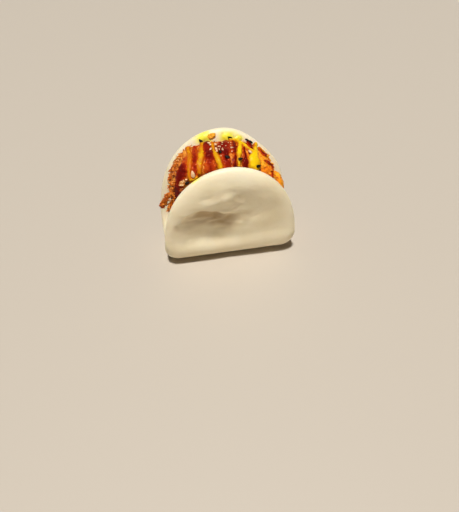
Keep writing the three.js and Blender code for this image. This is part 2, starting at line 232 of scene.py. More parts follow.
def dough_skin(angle, reach, side, relief=0):
    """Point on the bun: side is 1 outside and -1 inside; relief thickens that side."""
    rim_u, rim_v = sheet_rim(angle)
    u, v = rim_u * reach, rim_v * reach
    y, z, bend = dough_middle(v)
    thinning = np.clip((reach - (1 - RIM_SHARE)) / RIM_SHARE, 0, 1)
    swell = 1 + FOLD_SWELL * np.exp(-(v / FOLD_SWELL_REACH) ** 2)
    half = (DOUGH / 2 * swell + relief) * np.sqrt(1 - thinning ** 2)
    return np.stack([u, y + side * half * np.sin(bend), z - side * half * np.cos(bend)], -1)


flap_tops = dough_skin(np.radians([-90, 90]), np.ones(2), 1)
print("tops of the front and back flap:", flap_tops[:, 2].round(1), "mm up")

# %% [markdown]
# The front flap isn't flat: its upper half sags over the lower one in a soft lip, with a hollow
# under it, and the skin has puckered into a few short wrinkles. A sculpt brush would do this by
# hand. Here the lip is a line with a depth, and each dent and wrinkle is a small hill with a
# place, a spread and a height, added to the dough's thickness, which is easy to move until it
# looks right. The crease under the lip also gets painted shade, a darker dough tone kept for its
# finish.

# %% Places of the lip, the dents and the wrinkles
LIP = [  # x, z of the lip's edge and the depth of the hollow under it
    (-42, 34, 0.0), (-35, 42.5, 1.1), (-28, 48.8, 2.0), (-20, 52.2, 3.0), (-11, 50.2, 3.6),
    (-4, 46.4, 2.9), (8, 46.5, 0.9), (22, 48, 0.1), (38, 46, 0.0),
]
HILLS = [  # x, z, spread along x, spread above and below, height outwards
    (22, 46, 18, 15, 10, -1.2),
    (11, 58.5, 13, 6, 14, -0.7),
    (6, 30, 16, 7, 9, 0.5),
]
WRINKLES = [  # x, z of one end, x, z of the other, width, height outwards
    (-17, 54, -6, 57, 4.2, 1.1),
    (-7, 57.5, 1, 58.5, 4.2, 1.2),
    (-20, 59.5, -12, 60.5, 2.0, -0.4),
    (-7, 63, 4, 64, 2.6, -0.35),
    (-15, 50.2, -9, 49, 0.9, 0.5),
    (-10.5, 38.5, -2.5, 42.5, 1.5, 0.9),
    (-12, 42.5, -6, 44, 1.2, -0.5),
    (0.5, 46.5, 4, 50.5, 1.2, -0.8),
    (-27.5, 43.2, -23, 41.8, 0.9, 0.45),
    (-27, 41, -22.5, 39.8, 0.8, -0.4),
    (-34, 39, -28, 38, 0.9, -0.35),
    (-19, 39, -13, 38.5, 0.9, -0.35),
    (4, 42, 11, 44, 1.1, -0.35),
    (5, 61, 6, 55, 2.6, -0.5),
    (12, 37, 20, 39.5, 1.2, -0.3),
]
LIP_DEEPEST = max(depth for _, _, depth in LIP)
LIP_TURN = 9  # height over which the hollow gets deeper
LIP_EDGE = (-1.5, 4)  # below the lip's line, between which the hollow sets in
HOLLOW_FROM, HOLLOW_TO = 24, 46  # below that line, between which it comes out again
HOLLOW_FOOT = (4, 20)  # heights between which it fades out at the fold
SHADE_EDGE, SHADE_END = (-1, 4.5), (22, 9)  # below the lip's line, of the painted shade in the crease
SHADE_POWER = 1.2  # how fast the painted shade grows with the depth of the hollow
SHADE_UNEVENNESS, SHADE_WIDTH = 0.35, 2.2
BELLY_IN = 3.2  # by which the lower half of the flap lies further back
BELLY_TOP, BELLY_FOOT = (68, 26), (5, 24)  # heights between which it goes in and comes out
PUCKER_X, PUCKER_Z = (-14, 22), (39, 11)  # middle and spread of the puckered skin
PUCKER_HEIGHT, PUCKER_WIDTH, PUCKER_STRETCH = 0.8, 2, 3
print("front flap:", len(HILLS), "dents and", len(WRINKLES), "wrinkles, hollow", LIP_DEEPEST, "mm deep")

# %% The lip and its hollow
def eased(x, places, column):
    """Value at x of a line that eases from each place to the next."""
    table = np.array(places)
    after = np.clip(np.searchsorted(table[:, 0], x), 1, len(table) - 1)
    share = smooth_step(x, table[after - 1, 0], table[after, 0])
    return table[after - 1, column] + share * (table[after, column] - table[after - 1, column])


def lip_hollow(x, z):
    """Depth of the hollow under the lip."""
    under = eased(x, LIP, 1) - z
    steep = 1 - (1 - np.clip(under / LIP_TURN, 0, 1)) ** 2
    back_out = smooth_step(under, HOLLOW_TO, HOLLOW_FROM) * smooth_step(z, *HOLLOW_FOOT)
    return eased(x, LIP, 2) * steep * smooth_step(under, *LIP_EDGE) * back_out


def pucker_places(x, z):
    """Places drawn out along x, so that noise on them runs in level streaks."""
    return np.stack(np.broadcast_arrays(x / PUCKER_STRETCH, z, 0 * z), -1)


def lip_shade(x, z):
    """Painted shade in the crease itself, from 0 to about 1, deeper under a deeper hollow."""
    under = eased(x, LIP, 1) - z
    shade_amount = (eased(x, LIP, 2) / LIP_DEEPEST) ** SHADE_POWER
    shade_amount = shade_amount * smooth_step(under, *SHADE_EDGE) * smooth_step(under, *SHADE_END)
    return shade_amount * (1 + SHADE_UNEVENNESS * soft_noise(pucker_places(x, z), SHADE_WIDTH, 9))


sample_x = np.array([-28.0, -11.0, 8.0])
sample_hollow = lip_hollow(sample_x, np.full(3, 40.0))
print("hollow at x", sample_x, "and z 40:", sample_hollow.round(1), "mm deep")

# %% Relief of the front flap
def front_relief(x, z):
    """How far the outside of the front flap stands out from an even thickness."""
    belly = BELLY_IN * smooth_step(z, *BELLY_TOP) * smooth_step(z, *BELLY_FOOT)
    relief = -lip_hollow(x, z) - belly
    for at_x, at_z, wide, above, below, height in HILLS:
        spread = np.where(z > at_z, above, below)
        relief += height * np.exp(-((x - at_x) / wide) ** 2 - ((z - at_z) / spread) ** 2)
    for x0, z0, x1, z1, width, height in WRINKLES:
        run_x, run_z = x1 - x0, z1 - z0
        part = np.clip(((x - x0) * run_x + (z - z0) * run_z) / (run_x ** 2 + run_z ** 2), 0, 1)
        away = np.hypot(x - x0 - part * run_x, z - z0 - part * run_z)
        relief += height * np.sin(math.pi * (0.1 + 0.8 * part)) * np.exp(-(away / width) ** 2)
    from_x, from_z = (x - PUCKER_X[0]) / PUCKER_X[1], (z - PUCKER_Z[0]) / PUCKER_Z[1]
    pucker = PUCKER_HEIGHT * np.exp(-from_x ** 2 - from_z ** 2)
    return relief + pucker * soft_noise(pucker_places(x, z), PUCKER_WIDTH, 8)


DOUGH_SWELLS = [(0.35, 24, 1), (0.12, 9, 2), (0.03, 2.6, 3)]  # height, width and seed


def dough_relief(points, outside_front):
    """Swelling of the dough all over, and the pressed places on the outside of the front flap."""
    relief = sum(height * soft_noise(points, width, seed) for height, width, seed in DOUGH_SWELLS)
    return relief + np.where(outside_front, front_relief(points[..., 0], points[..., 2]), 0)


sample_relief = front_relief(sample_x, np.full(3, 57.0))
print("relief at x", sample_x, "and z 57:", sample_relief.round(1), "mm")

# %% [markdown]
# The rings of the skin start under the fold, run out over the outside to the rim, and come back
# over the inside. They are drawn together at the rim and at the ends of the fold, where the
# dough curves most. The points of a ring are taken with a falling angle, so that the faces
# between the rings look outwards. The bun's own weight flattens the bottom of the fold, so what
# would lie below the table is pressed up to it.

# %% Build the bun
BUN_ROWS, BUN_COLUMNS = 236, 400
ROW_CROWDING, FOLD_CROWDING = 0.45, 0.35
PRESS_SOFTNESS = 0.3


def pressed_flat(points):
    """The points with all that is below the table eased up to it."""
    flat = points.copy()
    flat[..., 2] = (points[..., 2] + np.sqrt(points[..., 2] ** 2 + PRESS_SOFTNESS ** 2)) / 2
    return flat


row = np.arange(1, BUN_ROWS) / BUN_ROWS
out = 1 - np.abs(2 * row - 1)
reach = (out - ROW_CROWDING * np.sin(2 * math.pi * out) / (2 * math.pi))[:, None]
side = np.where(row < 0.5, 1, -1)[:, None]
even = -2 * math.pi * np.arange(BUN_COLUMNS) / BUN_COLUMNS
angle = (even - FOLD_CROWDING * np.sin(2 * even))[None, :]
plain = dough_skin(angle, reach, side)
outside_front = (np.sin(angle) < 0) & (side > 0)
bun_skin = pressed_flat(dough_skin(angle, reach, side, dough_relief(plain, outside_front)))
bun_poles = pressed_flat(dough_skin(np.zeros(2), np.zeros(2), np.array([1, -1])))
bun_points, bun_faces = closed_skin(bun_skin, *bun_poles)
bun = mesh_piece("bun_dough", bun_points, bun_faces)
# painted shade: the crease under the lip gets a darker dough tone where shade falls
crease_shade = outside_front * lip_shade(plain[..., 0], plain[..., 2])
tone_layer(bun, "crease_shade", np.concatenate([[0], crease_shade.ravel(), [0]]))
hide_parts("bun")
print("bun:", len(bun_points), "points, box", bun_points.min(0).round(2), bun_points.max(0).round(2))

# %% [markdown]
# ## The cutlet
# The cutlet is a slab with a rounded outline that fills the gap between the flaps. A cube with a
# bevel would be too regular, so its skin is again a formula: an angle round the slab, seen from
# the front, and a share across it, from the front face at -1 to the back face at 1.

# %% Sizes of the cutlet
CUTLET_LEFT, CUTLET_RIGHT = 36.2, 35.2
CUTLET_MIDDLE_Z = 40
CUTLET_RISE, CUTLET_DROP = 39.5, 26  # from its middle to its top and to its bottom
LEFT_SQUARENESS, RIGHT_SQUARENESS = 3.4, 2.55
FRONT_ROUND, FRONT_FLAT = 9, 0.25  # rounding of the edge, and share across where it starts
BACK_ROUND, BACK_FLAT = 5.0, 0.6
CLEARANCE = 0.8  # between the cutlet's faces and the dough
print("cutlet", CUTLET_LEFT + CUTLET_RIGHT, "mm long and", CUTLET_RISE + CUTLET_DROP, "mm tall")

# %% From angle and share to the cutlet's skin
def wall_distance(lean, z):
    """From the fold's plane to a flap's inner face, at a height on its wall."""
    upright = math.pi / 2 - lean
    start = FOLD_HEIGHT + FOLD_RADIUS * (1 - np.cos(upright))
    return FOLD_RADIUS * np.sin(upright) + (z - start) * np.tan(lean) - DOUGH / 2 - CLEARANCE


def cutlet_skin(angle, across, scale=1):
    """Point on the smooth cutlet, or inside it for a scale below 1."""
    along, up = np.cos(angle), np.sin(angle)
    squareness = np.where(along < 0, LEFT_SQUARENESS, RIGHT_SQUARENESS)
    x = np.abs(along) / np.where(along < 0, CUTLET_LEFT, CUTLET_RIGHT)
    z = np.abs(up) / np.where(up > 0, CUTLET_RISE, CUTLET_DROP)
    radius = (x ** squareness + z ** squareness) ** (-1 / squareness)
    flat = np.where(across < 0, FRONT_FLAT, BACK_FLAT)
    turned = np.clip((np.abs(across) - flat) / (1 - flat), 0, 1)
    inset = np.where(across < 0, FRONT_ROUND, BACK_ROUND) * (1 - np.sqrt(1 - turned ** 2))
    radius = (radius - inset) * scale
    height = CUTLET_MIDDLE_Z + radius * up
    lean = np.where(across < 0, FRONT_LEAN, BACK_LEAN)
    return np.stack([radius * along, FOLD_Y + across * wall_distance(lean, height), height], -1)


cutlet_top = cutlet_skin(np.array(math.pi / 2), np.array(0.0))
print("top of the smooth cutlet:", cutlet_top.round(1), "mm")

# %% The way out of the skin, and the angle for a place
NORMAL_STEP, NORMAL_LIMIT = 0.004, 0.985  # no clear slope is left nearer to the faces
ANGLE_STEPS, ANGLE_EASE = 20, 0.7


def cutlet_normal(angle, across):
    """The way out of the smooth cutlet, from two short steps over its skin."""
    inner = np.clip(across, -NORMAL_LIMIT, NORMAL_LIMIT)
    before, after = angle - NORMAL_STEP, angle + NORMAL_STEP
    round_slab = cutlet_skin(after, inner) - cutlet_skin(before, inner)
    over_edge = cutlet_skin(angle, inner + NORMAL_STEP) - cutlet_skin(angle, inner - NORMAL_STEP)
    normal = np.cross(over_edge, round_slab)
    return normal / np.linalg.norm(normal, axis=-1, keepdims=True)


def cutlet_angle(x, across):
    """The angle at which the top of the cutlet has this x, found by stepping towards it."""
    angle = np.full(np.shape(x), math.pi / 2)
    for _ in range(ANGLE_STEPS):
        point = cutlet_skin(angle, across)
        radius = np.hypot(point[..., 0], point[..., 2] - CUTLET_MIDDLE_Z)
        angle = angle + ANGLE_EASE * (np.arccos(np.clip(x / radius, -1, 1)) - angle)
    return angle


top_normal = cutlet_normal(np.array(math.pi / 2), np.array(0.0))
sample_angle = np.degrees(cutlet_angle(np.array(20.0), np.array(0.0)))
print("way out at the top:", top_normal.round(2), "- x 20 is at", sample_angle.round(1), "degrees")

# %% [markdown]
# ### Crumb crust
# Breadcrumbs fry into a crust of packed grains over a lumpy coat. Displacement in the material
# would be lost on export, so the grains are in the mesh: two sizes of packed cells on a soft
# swell. How brown or gold each point is comes from its grain's tone and height and is stored with
# it: tips are gold, and pits are painted dark brown as shade. Towards the right end the crust is
# oily, which makes it a clearer orange and leaves its fine grains standing out more.

# %% Crust relief
SWELL_HEIGHT, SWELL_WIDTH = 0.8, 11
GRAIN, FINE_GRAIN = 3.6, 1.7  # widths of the two sizes of crumb
OIL_FROM, OIL_TO, OIL_MOST = 8, 24, 0.8  # places along x, and the share of oil


def crust_swell(points):
    """Soft lumps of the coat under the crumb."""
    return SWELL_HEIGHT * soft_noise(points, SWELL_WIDTH, 5)


def oiliness(points):
    """How much oil is in the crust, which grows towards the right end."""
    return OIL_MOST * smooth_step(np.asarray(points)[..., 0], OIL_FROM, OIL_TO)


def crust_relief(points):
    """Height of the crust over the smooth slab, and how gold it is there, with painted shade in its pits.
    """
    swell = crust_swell(points)
    coarse, tone = packed_cells(points + 0.8 * swell[..., None], GRAIN, 6)
    fine, fine_tone = packed_cells(points, FINE_GRAIN, 7)
    coarse_height = (coarse - 0.75) * (0.7 + 1.3 * tone)
    fine_height = (0.5 + 0.6 * oiliness(points)) * (fine - 0.5)
    height = swell + coarse_height + fine_height
    # the grain's own tone, and painted shade: low places between the grains come out darker
    golden_and_pit_shade = 0.75 * coarse ** 0.7 * (0.25 + 0.9 * tone) + 0.3 * fine * (0.4 + 0.9 * fine_tone)
    return height, np.clip(golden_and_pit_shade, 0, 0.9)


top_height, top_golden_and_pit_shade = crust_relief(cutlet_top)
print("crust at the top:", top_height.round(2), "mm over the slab, golden", top_golden_and_pit_shade.round(2))

# %% [markdown]
# The rings of the crust run out from the middle of the front face, over the edge that shows, and
# in to the middle of the back face. Most of their points are on the upper part, which is seen.
# The two faces lie against the dough, so the relief fades out towards them.

# %% Build the crust
FACE_ROWS, EDGE_ROWS = 6, 84
UPPER_COLUMNS, LOWER_COLUMNS = 620, 80
OVERLAP = 0.35  # angle by which the upper part reaches below the middle
RELIEF_ENDS = (1, 0.9)  # shares across between which the relief sets in
FACE_GOLDEN = 0.3
upper = np.linspace(-OVERLAP, math.pi + OVERLAP, UPPER_COLUMNS, endpoint=False)
lower = np.linspace(math.pi + OVERLAP, 2 * math.pi - OVERLAP, LOWER_COLUMNS, endpoint=False)
slab_angle = np.concatenate([upper, lower])[None, :]
inwards = np.arange(1, FACE_ROWS) / FACE_ROWS
face = np.ones(FACE_ROWS - 1)
edge = np.sin(np.linspace(-math.pi / 2, math.pi / 2, EDGE_ROWS))
slab_across = np.concatenate([-face, edge, face])[:, None]
slab_scale = np.concatenate([inwards, np.ones(EDGE_ROWS), inwards[::-1]])[:, None]
slab = cutlet_skin(slab_angle, slab_across, slab_scale)
relief, golden_and_pit_shade = crust_relief(slab)
show = smooth_step(np.abs(slab_across), *RELIEF_ENDS) * (slab_scale == 1)
crust_rings = slab + cutlet_normal(slab_angle, slab_across) * (relief * show)[..., None]
face_middles = cutlet_skin(np.zeros(2), np.array([-1, 1]), 0)
crust_points, crust_faces = closed_skin(crust_rings, *face_middles)
crust = mesh_piece("cutlet_crust", crust_points, crust_faces)
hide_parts("cutlet")
tone_layer(crust, "golden_and_pit_shade", np.concatenate([[FACE_GOLDEN], golden_and_pit_shade.ravel(), [FACE_GOLDEN]]))
tone_layer(crust, "oily", oiliness(crust_points))
print("crust:", len(crust_points), "points, relief", relief.min().round(2), "to", relief.max().round(2))

# %% [markdown]
# ### The bare end
# At the right the cutlet has an end without sauce, which sticks out past the rest. A cube under
# a Subdivision Surface would do for the form, but not for the crumb, so it is a blunt ball drawn
# out along its height, with the same crust, only a little smoother and more even in colour.

# %% Build the bare end
BARE_END, BARE_HALF = np.array([33.9, 4.2, 40.0]), np.array([7.6, 7.6, 14.0])
BARE_BLUNTNESS, BARE_RELIEF = 0.6, 0.75
BARE_ROWS, BARE_COLUMNS = 110, 140
TIP_GOLDEN = 0.6
polar = math.pi * np.arange(1, BARE_ROWS)[:, None] / BARE_ROWS
turn = 2 * math.pi * np.arange(BARE_COLUMNS)[None, :] / BARE_COLUMNS
ring = np.sin(polar) ** BARE_BLUNTNESS
unit = np.stack(np.broadcast_arrays(ring * np.cos(turn), ring * np.sin(turn), np.cos(polar)), -1)
lump = BARE_END + unit * BARE_HALF
lump_relief, lump_golden_and_pit_shade = crust_relief(lump)
outwards = unit / np.linalg.norm(unit, axis=-1, keepdims=True)
lump = lump + outwards * (BARE_RELIEF * lump_relief)[..., None]
tip = np.array([0, 0, BARE_HALF[2]])
bare_end = mesh_piece("cutlet_bare_end", *closed_skin(lump, BARE_END + tip, BARE_END - tip))
lump_golden_and_pit_shade = 0.2 + 0.65 * lump_golden_and_pit_shade
tone_layer(bare_end, "golden_and_pit_shade", np.concatenate([[TIP_GOLDEN], lump_golden_and_pit_shade.ravel(), [TIP_GOLDEN]]))
print("bare end:", len(bare_end.data.vertices), "points")

# %% [markdown]
# ## Where sauce lies
# Both sauces were poured in strands across the cutlet, from the back flap to the front one. A
# bevelled curve makes a tidy rope, but poured sauce spreads, merges and sinks at its edges. So
# each sauce is a sheet over the crust whose height comes from the distance to its strands. Where
# the height falls below the crust, the sheet dives under it, which gives a natural edge. The
# sheet is a film until a Solidify modifier gives it a body and closes it underneath.

# %% A fine grid over the top of the cutlet
SAUCE_ROWS, SAUCE_COLUMNS = 150, 560
SAUCE_FROM, SAUCE_TO = math.radians(8), math.radians(172)
SAUCE_SHARE = 0.999  # the last share across, just short of the faces
sauce_across = np.sin(np.linspace(-math.pi / 2, math.pi / 2, SAUCE_ROWS))[:, None] * SAUCE_SHARE
sauce_angle = np.linspace(SAUCE_FROM, SAUCE_TO, SAUCE_COLUMNS)[None, :]
sauce_base = cutlet_skin(sauce_angle, sauce_across)
sauce_normal = cutlet_normal(sauce_angle, sauce_across)
sauce_relief, _ = crust_relief(sauce_base)
sauce_swell = crust_swell(sauce_base)
sauce_steps = np.linalg.norm(np.diff(sauce_base[SAUCE_ROWS // 2], axis=0), axis=-1)
print("sauce grid:", sauce_base.shape[:2], "steps about", sauce_steps.mean().round(2), "mm")

# %% Course of a strand
SHARE_LENGTH = 12  # about as long as a share of 1 across the cutlet
STRAND_STEPS = 12  # from each place to the next


def strand_course(places):
    """Points and half widths along a strand: a smooth curve through places x, share and width."""
    places = np.array(places, float) * (1, SHARE_LENGTH, 1)
    ends = [2 * places[0] - places[1], *places, 2 * places[-1] - places[-2]]
    course = []
    for before, start, end, after in zip(ends, ends[1:], ends[2:], ends[3:]):
        t = np.linspace(0, 1, STRAND_STEPS, endpoint=False)[:, None]
        bend = 2 * before - 5 * start + 4 * end - after
        twist = 3 * (start - end) + after - before
        course.append(start + 0.5 * t * (end - before + t * (bend + t * twist)))
    course = np.concatenate([*course, places[-1:]])
    share = course[:, 1] / SHARE_LENGTH
    return cutlet_skin(cutlet_angle(course[:, 0], share), share), course[:, 2] / 2


sample_strand = [1.0, (-10, 0.5, 3), (-8, 0, 4), (-9, -0.5, 3)]  # thickness, then its places
sample_course, sample_half = strand_course(sample_strand[1:])
print("a strand through 3 places:", len(sample_course), "points, half width up to", sample_half.max())

# %% Height of a poured sauce
NARROWEST = 0.25  # least half width of a strand
DIVE_SLOPE, DIVE_DEPTH = 2, -1.5  # how steeply and how far the sheet dives beside a strand


def poured_height(points, strands, raggedness, seed):
    """Height over the crust of a sauce poured in strands; negative outside them."""
    ragged = raggedness * (soft_noise(points, 2.2, seed) + soft_noise(points, 6, seed + 1))
    ragged += 0.6 * raggedness * soft_noise(points, 1.1, seed + 3)
    uneven = 1 + 0.45 * soft_noise(points, 5, seed + 2)
    total = np.full(points.shape[:-1], DIVE_DEPTH)
    for thickness, *places in strands:
        course, half = strand_course(places)
        away = np.linalg.norm(points[..., None, :] - course, axis=-1)
        near = (away - half).argmin(-1)
        away = np.take_along_axis(away, near[..., None], -1)[..., 0]
        width = np.maximum(half[near] + ragged, NARROWEST)
        inside = thickness * uneven * np.sqrt(np.clip(1 - (away / width) ** 2, 0, 1))
        total = np.maximum(total, np.where(away < width, inside, DIVE_SLOPE * (width - away)))
    return total


sample_height = poured_height(sauce_base[SAUCE_ROWS // 2], [sample_strand], 0, 1)
print("that strand is up to", sample_height.max().round(2), "mm high, and beside it", sample_height.min())

# %% Bodies of sauce
SAUCE_BODY = 0.8  # by which the top of a sauce stands over its sheet, all along
SHEET_END = -1.2  # the sheet is cut off where it lies deeper than this
DEEP_SAUCE = 2  # over the crust, for the full tone


def close_underneath(piece, thickness):
    """Makes a sheet a closed body, by a second face below it."""
    shell = piece.modifiers.new("underside", "SOLIDIFY")
    shell.thickness = thickness * MM
    shell.offset = -1


def sauce_piece(name, lift, height):
    """A sheet over the crust, kept where the sauce is near or above it, and closed underneath."""
    top = sauce_base + sauce_normal * (lift + SAUCE_BODY)[..., None]
    points, faces, used = part_of_sheet(top, height > SHEET_END)
    piece = mesh_piece(name, points, faces)
    close_underneath(piece, SAUCE_BODY)
    depth = (lift - sauce_relief).ravel()[used]
    tone_layer(piece, "depth", np.clip(depth, 0, DEEP_SAUCE) / DEEP_SAUCE)
    print(name, "-", len(points), "points, over", (height > 0).mean().round(2), "of the top")
    return piece

# %% [markdown]
# ### Dark glaze
# The glaze is thin and runny: it follows the crumbs below it, pools between them and shines. It
# lies in broad ragged bands under the yellow drizzle.

# %% Pour the dark glaze
GLAZE_BANDS = [  # thickness, then x, share across and width at a few places
    [0.9, (-27.0, -0.56, 5.0), (-28.2, -0.70, 7.0), (-30.2, -0.80, 6.6), (-32.6, -0.82, 4.6),
     (-33.6, -0.86, 4.2)],
    [0.16, (-25.2, -0.2, 4.6), (-26.4, -0.46, 5.0)],
    [0.4, (-17.9, 0.48, 2.9), (-19.1, -0.47, 3.4), (-20.0, -0.83, 3.2), (-20.7, -0.94, 2.4)],
    [0.8, (-9.5, 0.6, 4.4), (-10.3, -0.31, 6.2), (-10.4, -0.66, 6.4)],
    [0.4, (-10.4, -0.7, 6.6), (-10.6, -0.95, 7.0)],
    [0.62, (0.9, 0.25, 9.0), (-0.3, -0.2, 9.2), (0.2, -0.45, 5.6)],
    [0.42, (-0.4, -0.66, 5.0), (0.2, -0.92, 5.0)],
    [0.8, (7.7, 0.5, 2.6), (7.0, -0.1, 2.7), (6.0, -0.62, 2.6), (5.1, -0.93, 2.8)],
    [1.0, (12.9, -0.16, 1.5), (12.5, -0.61, 3.4), (11.8, -0.9, 4.0), (12.0, -0.97, 3.4)],
    [0.9, (17.2, 0.6, 4.2), (18.2, -0.02, 3.4)],
    [1.0, (24.8, 0.30, 1.9), (26.6, 0.08, 2.2)],
    [0.8, (25.2, -0.52, 1.4), (28.4, -0.46, 1.9), (30.4, -0.38, 1.9), (29.3, -0.71, 1.6),
     (28.6, -0.9, 1.2)],
    [0.7, (13.9, -0.96, 1.7), (16.9, -0.96, 1.7), (20.1, -0.94, 1.4)],
]
GLAZE_CLING = 0.6  # share of the crumb's relief that shows through
GLAZE_RAGGEDNESS = 1.0
glaze_height = poured_height(sauce_base, GLAZE_BANDS, GLAZE_RAGGEDNESS, 11)
glaze_lift = GLAZE_CLING * sauce_relief + (1 - GLAZE_CLING) * sauce_swell + glaze_height
glaze = sauce_piece("dark_glaze", glaze_lift, glaze_height)

# %% [markdown]
# ### Yellow drizzle
# The drizzle is thicker than the glaze and bridges the crumbs, so its sheet follows mostly the
# soft swell of the cutlet, and has soft lumps of its own. The strands follow those of the part's
# own solid, with a short one more where the first one meets the front flap.

# %% Pour the yellow drizzle
DRIZZLE_STRANDS = [  # thickness, then x, share across and width at a few places
    [0.58, (-22.4, 0.75, 2.8), (-22.1, -0.21, 2.9), (-23.3, -0.63, 2.5), (-23.8, -0.95, 2.4)],
    [0.75, (-12.3, 0.75, 3.2), (-14.9, -0.29, 3.4), (-17.2, -0.77, 3.3), (-17.4, -0.95, 3.0)],
    [0.85, (-6.3, 0.6, 2.6), (-6.6, -0.15, 2.9), (-5.7, -0.55, 2.9), (-4.3, -0.93, 3.1)],
    [1.1, (5.5, 0.75, 1.9), (9.6, 0.72, 2.6), (11.4, 0.3, 3.2), (9.4, -0.36, 2.9),
     (7.3, -0.94, 2.4)],
    [1.4, (11.8, 0.38, 3.4), (13.7, 0.10, 3.7), (15.6, -0.17, 3.5), (18.6, -0.38, 3.0)],
    [1.4, (22.2, 0.72, 2.8), (20.2, -0.15, 3.8), (18.1, -0.6, 6.4), (17.8, -0.75, 8.8),
     (17.6, -0.86, 9.2)],
    [0.9, (24.2, 0.55, 1.4), (28, 0.3, 1.6), (30.4, 0.02, 1.4)],
    [0.9, (-23.4, -0.98, 2.2), (-21.6, -0.994, 2.2), (-19.6, -0.994, 1.4)],
]
DRIZZLE_CLING = 0.45
DRIZZLE_RAGGEDNESS = 0.36
LUMP_HEIGHT, LUMP_WIDTH = 0.25, 4
drizzle_height = poured_height(sauce_base, DRIZZLE_STRANDS, DRIZZLE_RAGGEDNESS, 21)
drizzle_lumps = LUMP_HEIGHT * soft_noise(sauce_base, LUMP_WIDTH, 23) * smooth_step(drizzle_height, 0, 0.8)
drizzle_under = DRIZZLE_CLING * sauce_relief + (1 - DRIZZLE_CLING) * sauce_swell
drizzle_lift = drizzle_under + drizzle_height + drizzle_lumps
drizzle = sauce_piece("yellow_drizzle", drizzle_lift, drizzle_height)

# %% [markdown]
# Crumbs and seeds that fell last lie on whatever is highest: crust, glaze or drizzle. So the
# highest of the three is kept for every point of the grid, and a helper finds a seat on it.

# %% A seat on top
SEAT_AROUND = 1.3  # how far round a place its seat is looked for
SEAT_RANK = 95  # per cent of the points there that lie lower than the seat
sauce_top = np.maximum(sauce_relief, np.maximum(glaze_lift, drizzle_lift) + SAUCE_BODY)
print("highest point on top:", sauce_top.max().round(2), "mm over the smooth cutlet")


def seat_near(place, around):
    """Highest point near a place on top, and the way out of the surface there."""
    away = np.linalg.norm(sauce_base - place, axis=-1)
    top = np.percentile(sauce_top[away < around], SEAT_RANK)
    normal = sauce_normal[np.unravel_index(away.argmin(), away.shape)]
    return place + normal * top, normal


def seat_on_cutlet(x, share, around=SEAT_AROUND):
    """A seat at a place along the cutlet's top and a share across it."""
    share = np.array(share)
    return seat_near(cutlet_skin(cutlet_angle(np.array(x), share), share), around)

# %% [markdown]
# Glaze also soaks into the crust round each band and darkens it. That needs no shape of its own:
# how soaked each point is goes into one more stored tone, which fades out with the distance. The
# bare end stays dry of glaze and is oily all over.

# %% Soak the crust
SOAK_RAGGEDNESS = 0.9
SOAK_HEIGHTS = (-1.4, 0.3)  # of the glaze, between which the soaking sets in


def soaked(points):
    """How soaked with glaze each point is, from 0 to 1."""
    return smooth_step(poured_height(points, GLAZE_BANDS, SOAK_RAGGEDNESS, 13), *SOAK_HEIGHTS)


crust_soak = soaked(crust_points)
tone_layer(crust, "soaked", crust_soak)
tone_layer(bare_end, "soaked", np.zeros(len(bare_end.data.vertices)))
tone_layer(bare_end, "oily", np.full(len(bare_end.data.vertices), OIL_MOST))
print("soaked share of the crust:", crust_soak.mean().round(3))

# %% [markdown]
# ## Crumbs and flakes
# Loose crumbs stand off the crust, most of all at the left end, where ragged flakes stick out.
# A particle system could scatter them, but it leaves no mesh to keep. So one small ball is bent
# out of shape at random, again and again, and all these chips are joined into one piece.

# %% A chip
CHIP_RAGGEDNESS = 0.38
CHIP_TONE_SPREAD = 0.12


def unit_ball(subdivisions):
    """Points and triangles of a ball of radius 1."""
    ball = bmesh.new()
    bmesh.ops.create_icosphere(ball, subdivisions=subdivisions, radius=1)
    points = np.array([vertex.co for vertex in ball.verts])
    faces = np.array([[vertex.index for vertex in face.verts] for face in ball.faces])
    ball.free()
    return points, faces


def random_turn():
    """A turn by any angle about any axis."""
    axis = Vector(draw.normal(size=3)).normalized()
    return np.array(Matrix.Rotation(draw.uniform(0, 2 * math.pi), 3, axis))


draw = np.random.default_rng(31)  # one stream for all that is scattered
chip_points, chip_faces = unit_ball(2)
crumb_points, crumb_faces, crumb_golden = [], [], []
print("a chip has", len(chip_points), "points and", len(chip_faces), "faces")


def add_crumb(place, half, turn_matrix, tone):
    """One ragged chip with its half sizes, its turn and its tone, from brown to gold."""
    bent = chip_points * (1 + CHIP_RAGGEDNESS * draw.uniform(-1, 1, (len(chip_points), 1)))
    crumb_faces.append(chip_faces + len(crumb_points) * len(chip_points))
    crumb_points.append(place + (bent * half) @ turn_matrix.T)
    crumb_golden.append(np.clip(tone + CHIP_TONE_SPREAD * draw.normal(size=len(bent)), 0, 1))

# %% Scatter the crumbs
CRUMB_ZONES = [  # angle from and to in degrees, count, smallest and largest half size
    (128, 205, 700, 0.3, 1.3),
    (-20, 48, 300, 0.3, 1.1),
    (48, 128, 90, 0.3, 0.8),
]
CRUMB_SLIM, CRUMB_STOUT = (0.9, 0.4, 0.3), (2.1, 0.8, 0.6)  # half sizes, times the crumb's size
CRUMB_PROUD = 0.25  # share of its size by which a crumb's middle is over the crust
EDGE_SPREAD = 1.3  # radians across the cutlet's edge, each way
for start, end, count, small, large in CRUMB_ZONES:
    for _ in range(count):
        at_angle = np.array(math.radians(draw.uniform(start, end)))
        at_across = np.array(math.sin(draw.uniform(-EDGE_SPREAD, EDGE_SPREAD)))
        spot = cutlet_skin(at_angle, at_across)
        height, tone = crust_relief(spot)
        size = small + (large - small) * draw.random() ** 2
        spot = spot + cutlet_normal(at_angle, at_across) * (height + CRUMB_PROUD * size)
        half = size * draw.uniform(CRUMB_SLIM, CRUMB_STOUT)
        add_crumb(spot, half, random_turn(), 0.1 + 0.85 * draw.random())
print("crumbs on the crust:", len(crumb_points))

# %% [markdown]
# The flakes are the part's own: two long chips that hang off the left end one after the other,
# and one that runs down along the crust. Smaller crumbs cling all over them.

